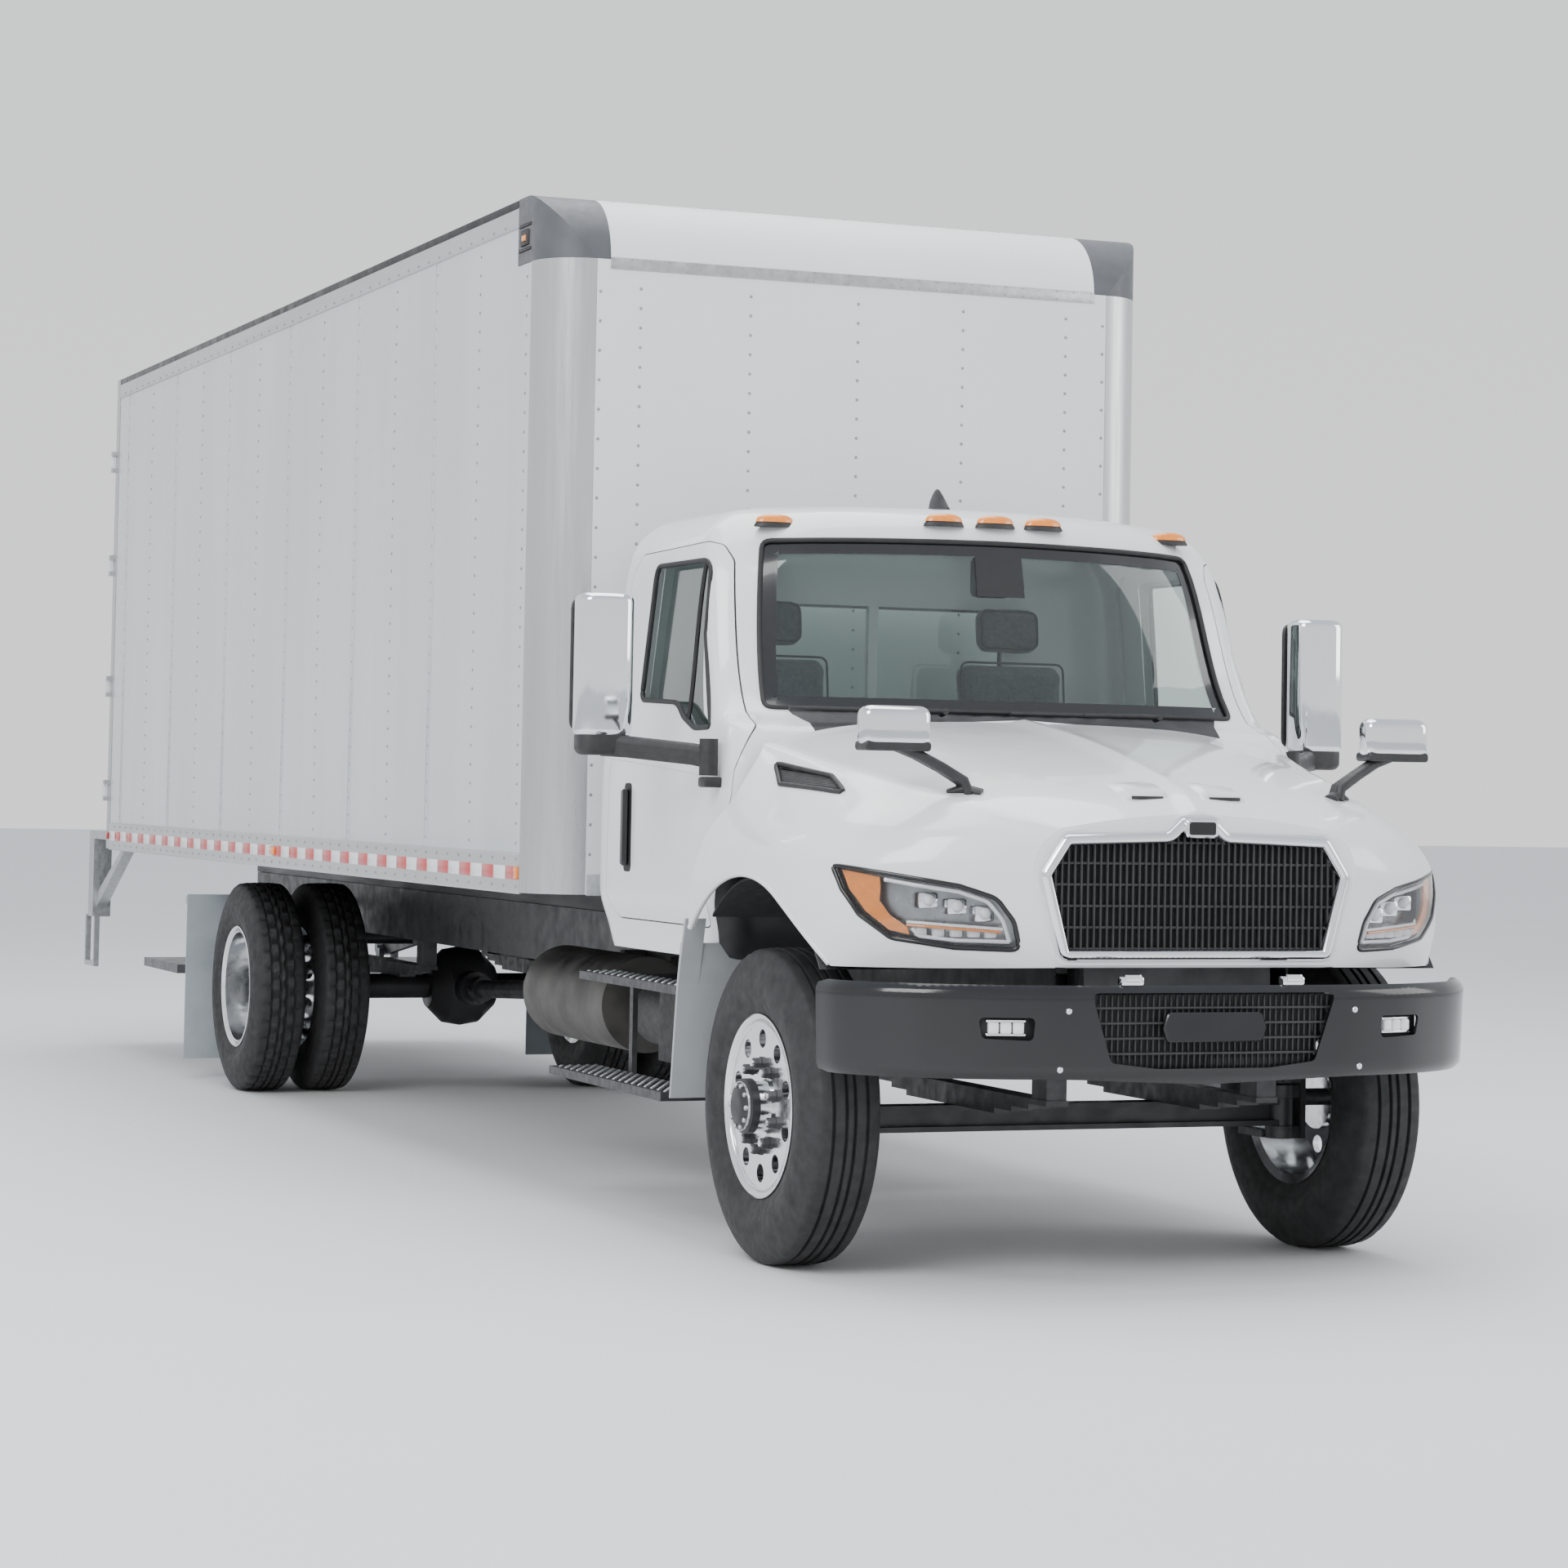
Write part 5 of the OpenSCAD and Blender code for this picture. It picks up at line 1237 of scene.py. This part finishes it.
for side, tag in SIDES:
    h = Shape(side)
    tyre(h, 1010, 0, False)
    t = h.make("front_tyre_skin_" + tag, "front_wheel_" + tag, "tyre", angle=50)
    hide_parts("front_tyre_" + tag)
    h = Shape(side)
    tyre(h, 904 + 165, WHEELBASE, True)
    tyre(h, 904 - 165, WHEELBASE, True)
    t = h.make("rear_tyre_skin_" + tag, "rear_wheel_" + tag, "tyre", angle=50)
    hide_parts("rear_tyres_" + tag)
    # Wheel nuts, hub cap and its ring of bolts
    for name, cy, disc, hub_r, hub_x, body in (
            ("front", 0, 1010 + 105 - 2, 78, 1191, "front_wheel_" + tag),
            ("rear", WHEELBASE, 904 + 26, 92, 904 + 131, "rear_wheel_" + tag)):
        h = Shape(side)
        for k in range(10):
            y, z = cy + 143 * math.sin(2 * math.pi * k / 10), WHEEL_Z + 143 * math.cos(
                2 * math.pi * k / 10)
            h.lathe([(23, 0), (23, 6), (19, 7), (19, 30), (16, 33), (2, 33)], (disc, y, z), "x", 6)
        h.make("wheel_nuts_%s_%s" % (name, tag), body, "spring_steel", angle=30)
        h = Shape(side)
        h.lathe([(hub_r + 14, -40), (hub_r + 14, -12), (hub_r + 4, -6), (hub_r + 2, 0),
            (hub_r - 14, 3), (hub_r - 24, 12), (hub_r - 46, 14), (2, 14)], (hub_x, cy, WHEEL_Z), "x", 48)
        h.make("hub_cap_%s_%s" % (name, tag), body, "chassis_black")
        h = Shape(side)
        for k in range(10):
            a = 2 * math.pi * k / 10
            h.lathe([(9, 0), (9, 8), (6, 11), (1, 11)], (hub_x, cy + (hub_r - 7) * math.cos(a),
                WHEEL_Z + (hub_r - 7) * math.sin(a)), "x", 6)
        h.make("hub_bolts_%s_%s" % (name, tag), body, "galvanised_steel", angle=30)
        h = Shape(side)
        x = 1010 if name == "front" else 904 + 165
        out = x + 105
        h.lathe([(300, out + 2), (306, out + 8), (306, out + 12), (300, out + 15), (290, out + 12),
            (280, out + 4), (276, out - 8)], (0, cy, WHEEL_Z), "x", 96, closed=True)
        h.make("rim_lip_%s_%s" % (name, tag), body, "polished_aluminium")

# Grip studs on the steps
for side, tag in SIDES:
    h = Shape(side)
    for x0, x1, y0, y1, z in ((1000, 1200, 740, 1980, 512), (980, 1130, 740, 1850, 880)):
        row = 0
        for y in np.arange(y0 + 25, y1 - 15, 34):
            row += 1
            for x in np.arange(x0 + 20 + 17 * (row % 2), x1 - 12, 34):
                h.dome((x, y, z), (0, 0, 1), 9, 5, 6)
    h.make("step_studs_" + tag, "chassis", "galvanised_steel", merge=False)

# ---- cargo box -------------------------------------------------------------------------

for side, tag in SIDES:
    h = Shape(side)
    x = HALF_W - 3
    y = BOX_FRONT + 260
    while y < BOX_REAR - 100:
        top = BOX_TOP - 150 if y > BOX_FRONT + 400 else BOX_TOP - 300
        for z in np.arange(BOX_BOTTOM + 190, top, 76):
            h.dome((x, y, z), (1, 0, 0), 7, 3.4, 6)
        y += PANEL_RIVETS
    for y in np.arange(BOX_FRONT + 240, BOX_REAR - 100, RAIL_RIVETS):
        for z in (BOX_BOTTOM + 22, BOX_BOTTOM + 128):
            h.dome((HALF_W, y, z), (1, 0, 0), 7, 3.4, 6)
        if y > BOX_FRONT + 400:
            h.dome((HALF_W, y, BOX_TOP - 92), (1, 0, 0), 7, 3.4, 6)
    h.make("side_rivets_" + tag, "chassis", "rivet", merge=False)
    # Lapped sheet joints
    h = Shape(side)
    for k in range(1, 7):
        y = BOX_FRONT + 260 + k * 1219.2
        if y < BOX_REAR - 150:
            h.box((x - 2, y - 26, BOX_BOTTOM + 152), (x + 1.2, y + 26, BOX_TOP - 112), 0.5)
    h.make("side_joints_" + tag, "chassis", "side_panel")
    # Reflective squares along the lower rail: one red and one white half
    for name, a, b in (("red", 0, 152), ("white", 152, 304)):
        h = Shape(side)
        for k in range(25):
            y = BOX_FRONT + 222 + 304.8 * k
            h.box((HALF_W - 1, y + a, BOX_BOTTOM + 48), (HALF_W + 0.8, y + b, BOX_BOTTOM + 100), 0.3)
        h.make("tape_%s_%s" % (name, tag), "chassis", "tape_" + name)
    h = Shape(side)
    h.box((HALF_W - 12, BOX_FRONT + 202, BOX_BOTTOM - 6), (HALF_W + 2, BOX_REAR - 80,
        BOX_BOTTOM + 8), 3)
    h.box((HALF_W - 8, BOX_FRONT + 202, BOX_BOTTOM + 143), (HALF_W + 2.5, BOX_REAR - 80,
        BOX_BOTTOM + 151), 2)
    h.box((HALF_W - 8, BOX_FRONT + 380, BOX_TOP - 112), (HALF_W + 3, BOX_REAR - 80, BOX_TOP - 102), 2)
    h.make("rail_lips_" + tag, "chassis", "rail_aluminium")
    h = Shape(side)
    h.box((HALF_W - 10, BOX_FRONT + 380, BOX_TOP - 34), (HALF_W + 2, BOX_REAR - 80, BOX_TOP - 1), 4)
    h.make("rail_dark_edge_" + tag, "chassis", "chassis_black")
    # Marker lamps: upper front corner cap, lower front, middle and rear
    h = Shape(side)
    h.box((HALF_W - 4, BOX_FRONT + 262, BOX_TOP - 176), (HALF_W + 10, BOX_FRONT + 312, BOX_TOP - 150),
        6)
    h.box((HALF_W - 2, BOX_FRONT + 215, BOX_BOTTOM + 50), (HALF_W + 9, BOX_FRONT + 250,
        BOX_BOTTOM + 100), 7)
    h.box((HALF_W - 2, BOX_FRONT + 3990, BOX_BOTTOM + 55), (HALF_W + 9, BOX_FRONT + 4080,
        BOX_BOTTOM + 95), 7)
    h.make("marker_amber_" + tag, "chassis", "amber_lens")
    h = Shape(side)
    h.box((HALF_W - 4, BOX_FRONT + 236, BOX_TOP - 192), (HALF_W + 6, BOX_FRONT + 338, BOX_TOP - 132), 9)
    h.box((HALF_W - 4, BOX_FRONT + 210, BOX_TOP - 118), (HALF_W + 4, BOX_FRONT + 364, BOX_TOP - 106), 4)
    h.box((HALF_W - 4, BOX_FRONT + 210, BOX_TOP - 214), (HALF_W + 4, BOX_FRONT + 364, BOX_TOP - 202), 4)
    h.make("cap_lamp_" + tag, "chassis", "black_plastic")
    h = Shape(side)
    h.box((HALF_W - 2, BOX_REAR - 60, BOX_BOTTOM + 55), (HALF_W + 9, BOX_REAR - 20,
        BOX_BOTTOM + 95), 7)
    for z in (1560, 1700):
        h.lathe([(52, -2), (52, 12), (46, 17), (2, 19)], (HALF_W - 62, BOX_REAR, z), "y", 32)
    for x in (0, 110):
        h.box((x - 32 if x else -32 * (side > 0), BOX_REAR - 1, BOX_TOP - 150),
            (x + 32, BOX_REAR + 12, BOX_TOP - 125), 6)
    h.make("lamps_red_" + tag, "chassis", "red_lens")
    h = Shape(side)
    h.lathe([(46, -2), (46, 12), (40, 16), (2, 18)], (HALF_W - 62, BOX_REAR, 1840), "y", 32)
    h.make("lamp_reverse_" + tag, "chassis", "lamp_white")

h = Shape()
for x in (-914, -457, 0, 457, 914):
    for z in np.arange(BOX_BOTTOM + 60, BOX_TOP - 300, 76):
        h.dome((x, BOX_FRONT, z), (0, -1, 0), 7, 3.4, 6)
for x in np.arange(-1030, 1031, 76):
    for z in (BOX_TOP - 292, BOX_TOP - 262):
        h.dome((x, BOX_FRONT, z), (0, -1, 0), 7, 3.4, 6)
    a = math.radians(84)
    h.dome((x, BOX_FRONT + 262 - 262 * math.cos(a), BOX_TOP - 262 + 262 * math.sin(a)),
        (0, -math.cos(a), math.sin(a)), 7, 3.4, 6)
for s in (1, -1):
    for z in np.arange(BOX_BOTTOM + 40, BOX_TOP - 290, 114):
        h.dome((s * (HALF_W - 216), BOX_FRONT, z), (0, -1, 0), 7, 3.4, 6)
h.make("front_rivets", "chassis", "rivet", merge=False)
h = Shape()
h.box((-1090, BOX_FRONT - 5, BOX_BOTTOM - 4), (1090, BOX_FRONT + 1, BOX_BOTTOM + 78), 1.5)
h.box((-1040, BOX_FRONT - 3, BOX_TOP - 300), (1040, BOX_FRONT + 1, BOX_TOP - 254), 1)
h.make("front_strip", "chassis", "galvanised_steel")
# Rear doors: gaskets, hinge bolts, rod brackets; sockets for the rods on the frame
for side, tag in SIDES:
    body = "rear_door_" + tag
    z0, z1, x1 = BOX_BOTTOM + 154, BOX_TOP - 280, HALF_W - 129
    h = Shape(side)
    h.tube([(x1 - 6, BOX_REAR - 4, z0 + 6), (x1 - 6, BOX_REAR - 4, z1 - 6), (8, BOX_REAR - 4,
        z1 - 6), (8, BOX_REAR - 4, z0 + 6)], 7, 8, closed=True)
    h.make("door_gasket_" + tag, body, "rubber_seal")
    h = Shape(side)
    for z in (1500, 2100, 2800, 3400):
        for x in (x1 - 170, x1 - 110, x1 - 50):
            h.dome((x, BOX_REAR - 3 + 14, z), (0, 1, 0), 9, 6, 10)
    h.make("hinge_bolts_" + tag, body, "galvanised_steel")
    h = Shape(side)
    h.box((60, BOX_REAR - 4, 1940), (230, BOX_REAR + 4, 2075), 4)
    h.make("rod_plate_" + tag, body, "galvanised_steel")
    h = Shape(side)
    for z in (BOX_BOTTOM + 95, BOX_TOP - 250):
        h.box((118, BOX_REAR - 1, z - 18), (182, BOX_REAR + 10, z + 28), 4)
    h.make("rod_sockets_" + tag, "chassis", "galvanised_steel")

# ---- seats -----------------------------------------------------------------------------


def pad(name, lo, hi, r, tilt, crown, mirror):
    h = Shape()
    h.flip = mirror
    c = [(a + b) / 2 for a, b in zip(lo, hi)]
    s = 0.965
    lo2 = [m + (a - m) * s for a, m in zip(lo, c)]
    hi2 = [m + (a - m) * s for a, m in zip(hi, c)]
    turn = Matrix.Rotation(math.radians(tilt), 3, "X")
    h.box(lo2, hi2, r, turn, (c[0], lo[1], lo[2]))
    obj = h.make(name, "chassis", "seat_fabric", angle=180)
    m = obj.modifiers.new("grid", "REMESH")
    m.mode = "VOXEL"
    m.voxel_size = 0.011
    bake(obj)
    start = np.zeros(len(obj.data.vertices) * 3)
    obj.data.vertices.foreach_get("co", start)
    c = obj.modifiers.new("cloth", "CLOTH")
    c.settings.use_pressure = True
    c.settings.uniform_pressure_force = 4
    c.settings.effector_weights.gravity = 0
    c.settings.tension_stiffness = 25
    c.point_cache.frame_start = 1
    c.point_cache.frame_end = 20
    for f in range(1, 21):
        bpy.context.scene.frame_set(f)
    bake(obj)
    bpy.context.scene.frame_set(1)
    end = np.zeros_like(start)
    obj.data.vertices.foreach_get("co", end)
    d = (end - start).reshape(-1, 3)
    ln = np.linalg.norm(d, axis=1, keepdims=True)
    d *= np.minimum(1, crown / 1000 / np.maximum(ln, 1e-9))
    obj.data.vertices.foreach_set("co", (start.reshape(-1, 3) + d).ravel())
    obj.data.shade_smooth()
    sub = obj.modifiers.new("smooth", "SUBSURF")
    sub.levels = sub.render_levels = 1
    obj.data.materials.clear()
    obj.data.materials.append(M["seat_fabric"])
    return obj


def piping(name, lo, hi, tilt, flat, mirror):
    """The corded seam round the face of a pad: its top where flat, else its front."""
    x0, x1 = lo[0] + 16, hi[0] - 16
    a, b = (lo[1] + 15, hi[1] - 15) if flat else (lo[2] + 15, hi[2] - 15)
    turn = Matrix.Rotation(math.radians(tilt), 3, "X")
    pivot = Vector(((lo[0] + hi[0]) / 2, lo[1], lo[2]))
    line = []
    for p, q in dense(fillet([(x0, a), (x1, a), (x1, b), (x0, b)], 34, 5), 30):
        at = Vector((p, q, hi[2] - 8)) if flat else Vector((p, lo[1] + 9, q))
        line.append(tuple(pivot + turn @ (at - pivot)))
    h = Shape()
    h.flip = mirror
    h.tube(line, 4.5, 8, closed=True)
    h.make(name, "chassis", "seat_piping")


def bake(obj):
    dg = bpy.context.evaluated_depsgraph_get()
    mesh = bpy.data.meshes.new_from_object(obj.evaluated_get(dg))
    obj.modifiers.clear()
    obj.data = mesh


first = {}
for side, tag in SIDES:
    for name, lo, hi, r, tilt, crown in (
            ("cushion", (255, 998, 1418), (745, 1420, 1548), 40, 0, 14),
            ("back", (265, 1434, 1560), (735, 1532, 2105), 40, -6, 14),
            ("headrest", (365, 1506, 2132), (635, 1584, 2306), 34, -6, 10)):
        key = "seat_%s_%s" % (name, tag)
        piping("piping_%s_%s" % (name, tag), lo, hi, tilt, name == "cushion", side)
        if side > 0:
            first[name] = pad(key, lo, hi, r, tilt, crown, 1)
            if name == "cushion":
                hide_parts("seat_pads")
        else:
            src = first[name]
            mesh = src.data.copy()
            co = np.zeros(len(mesh.vertices) * 3)
            mesh.vertices.foreach_get("co", co)
            co[0::3] *= -1
            mesh.vertices.foreach_set("co", co)
            mesh.flip_normals()
            obj = bpy.data.objects.new(key, mesh)
            bpy.context.scene.collection.objects.link(obj)
            sub = obj.modifiers.new("smooth", "SUBSURF")
            sub.levels = sub.render_levels = 1
            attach(obj, "chassis")

# ---- camera, lights and floor ----------------------------------------------------------

yaw, pitch, roll = (math.radians(a) for a in (21.953, 2.537, 1.028))
fwd = Vector((math.sin(yaw) * math.cos(pitch), math.cos(yaw) * math.cos(pitch), math.sin(pitch)))
right = Vector((math.cos(yaw), -math.sin(yaw), 0))
up = right.cross(fwd)
r2 = right * math.cos(roll) + up * math.sin(roll)
u2 = up * math.cos(roll) - right * math.sin(roll)
cam = bpy.data.objects.new("camera", bpy.data.cameras.new("camera"))
cam.data.lens = 85.5
cam.data.sensor_width = 36
cam.data.shift_y = -0.104
cam.data.clip_end = 300
cam.matrix_world = Matrix.Translation(place((-5741, -11606, 1595))) @ Matrix(
    (r2, u2, -fwd)).transposed().to_4x4()
bpy.context.scene.collection.objects.link(cam)
bpy.context.scene.camera = cam

floor_mesh = bpy.data.meshes.new("floor")
floor_mesh.from_pydata([(-90, -90, 0), (90, -90, 0), (90, 90, 0), (-90, 90, 0)], [], [(0, 1, 2, 3)])
floor_mat = Mat("studio_floor", (0.80, 0.80, 0.80), 0.7).vary(0.7, 0.01)
floor_mesh.materials.append(floor_mat.m)
floor = bpy.data.objects.new("floor", floor_mesh)
bpy.context.scene.collection.objects.link(floor)

world = bpy.data.worlds.new("studio")
world.use_nodes = True
bpy.context.scene.world = world
wt = world.node_tree
bg = wt.nodes["Background"]
bg.inputs["Strength"].default_value = 1.3
coord = wt.nodes.new("ShaderNodeTexCoord")
split = wt.nodes.new("ShaderNodeSeparateXYZ")
ramp = wt.nodes.new("ShaderNodeValToRGB")
ramp.color_ramp.elements[0].position = 0.48
ramp.color_ramp.elements[0].color = (0.93, 0.93, 0.93, 1)
ramp.color_ramp.elements[1].position = 1.0
ramp.color_ramp.elements[1].color = (0.62, 0.68, 0.76, 1)
shift = wt.nodes.new("ShaderNodeMath")
shift.operation = "MULTIPLY_ADD"
shift.inputs[1].default_value = 0.5
shift.inputs[2].default_value = 0.5
wt.links.new(coord.outputs["Generated"], split.inputs[0])
wt.links.new(split.outputs["Z"], shift.inputs[0])
wt.links.new(shift.outputs[0], ramp.inputs["Fac"])
wt.links.new(ramp.outputs["Color"], bg.inputs["Color"])


def area(name, at, aim, size, power):
    light = bpy.data.lights.new(name, "AREA")
    light.shape = "RECTANGLE"
    light.size, light.size_y = size
    light.energy = power
    obj = bpy.data.objects.new(name, light)
    obj.location = at
    obj.rotation_euler = (Vector(aim) - Vector(at)).to_track_quat("-Z", "Y").to_euler()
    bpy.context.scene.collection.objects.link(obj)


area("key", (-11, -12, 11), (0, -1, 1.5), (8, 8), 1700)
area("top", (0, 0, 13), (0, 0, 0), (9, 14), 1500)
area("fill", (12, -9, 6), (0, -2, 1.5), (7, 7), 500)
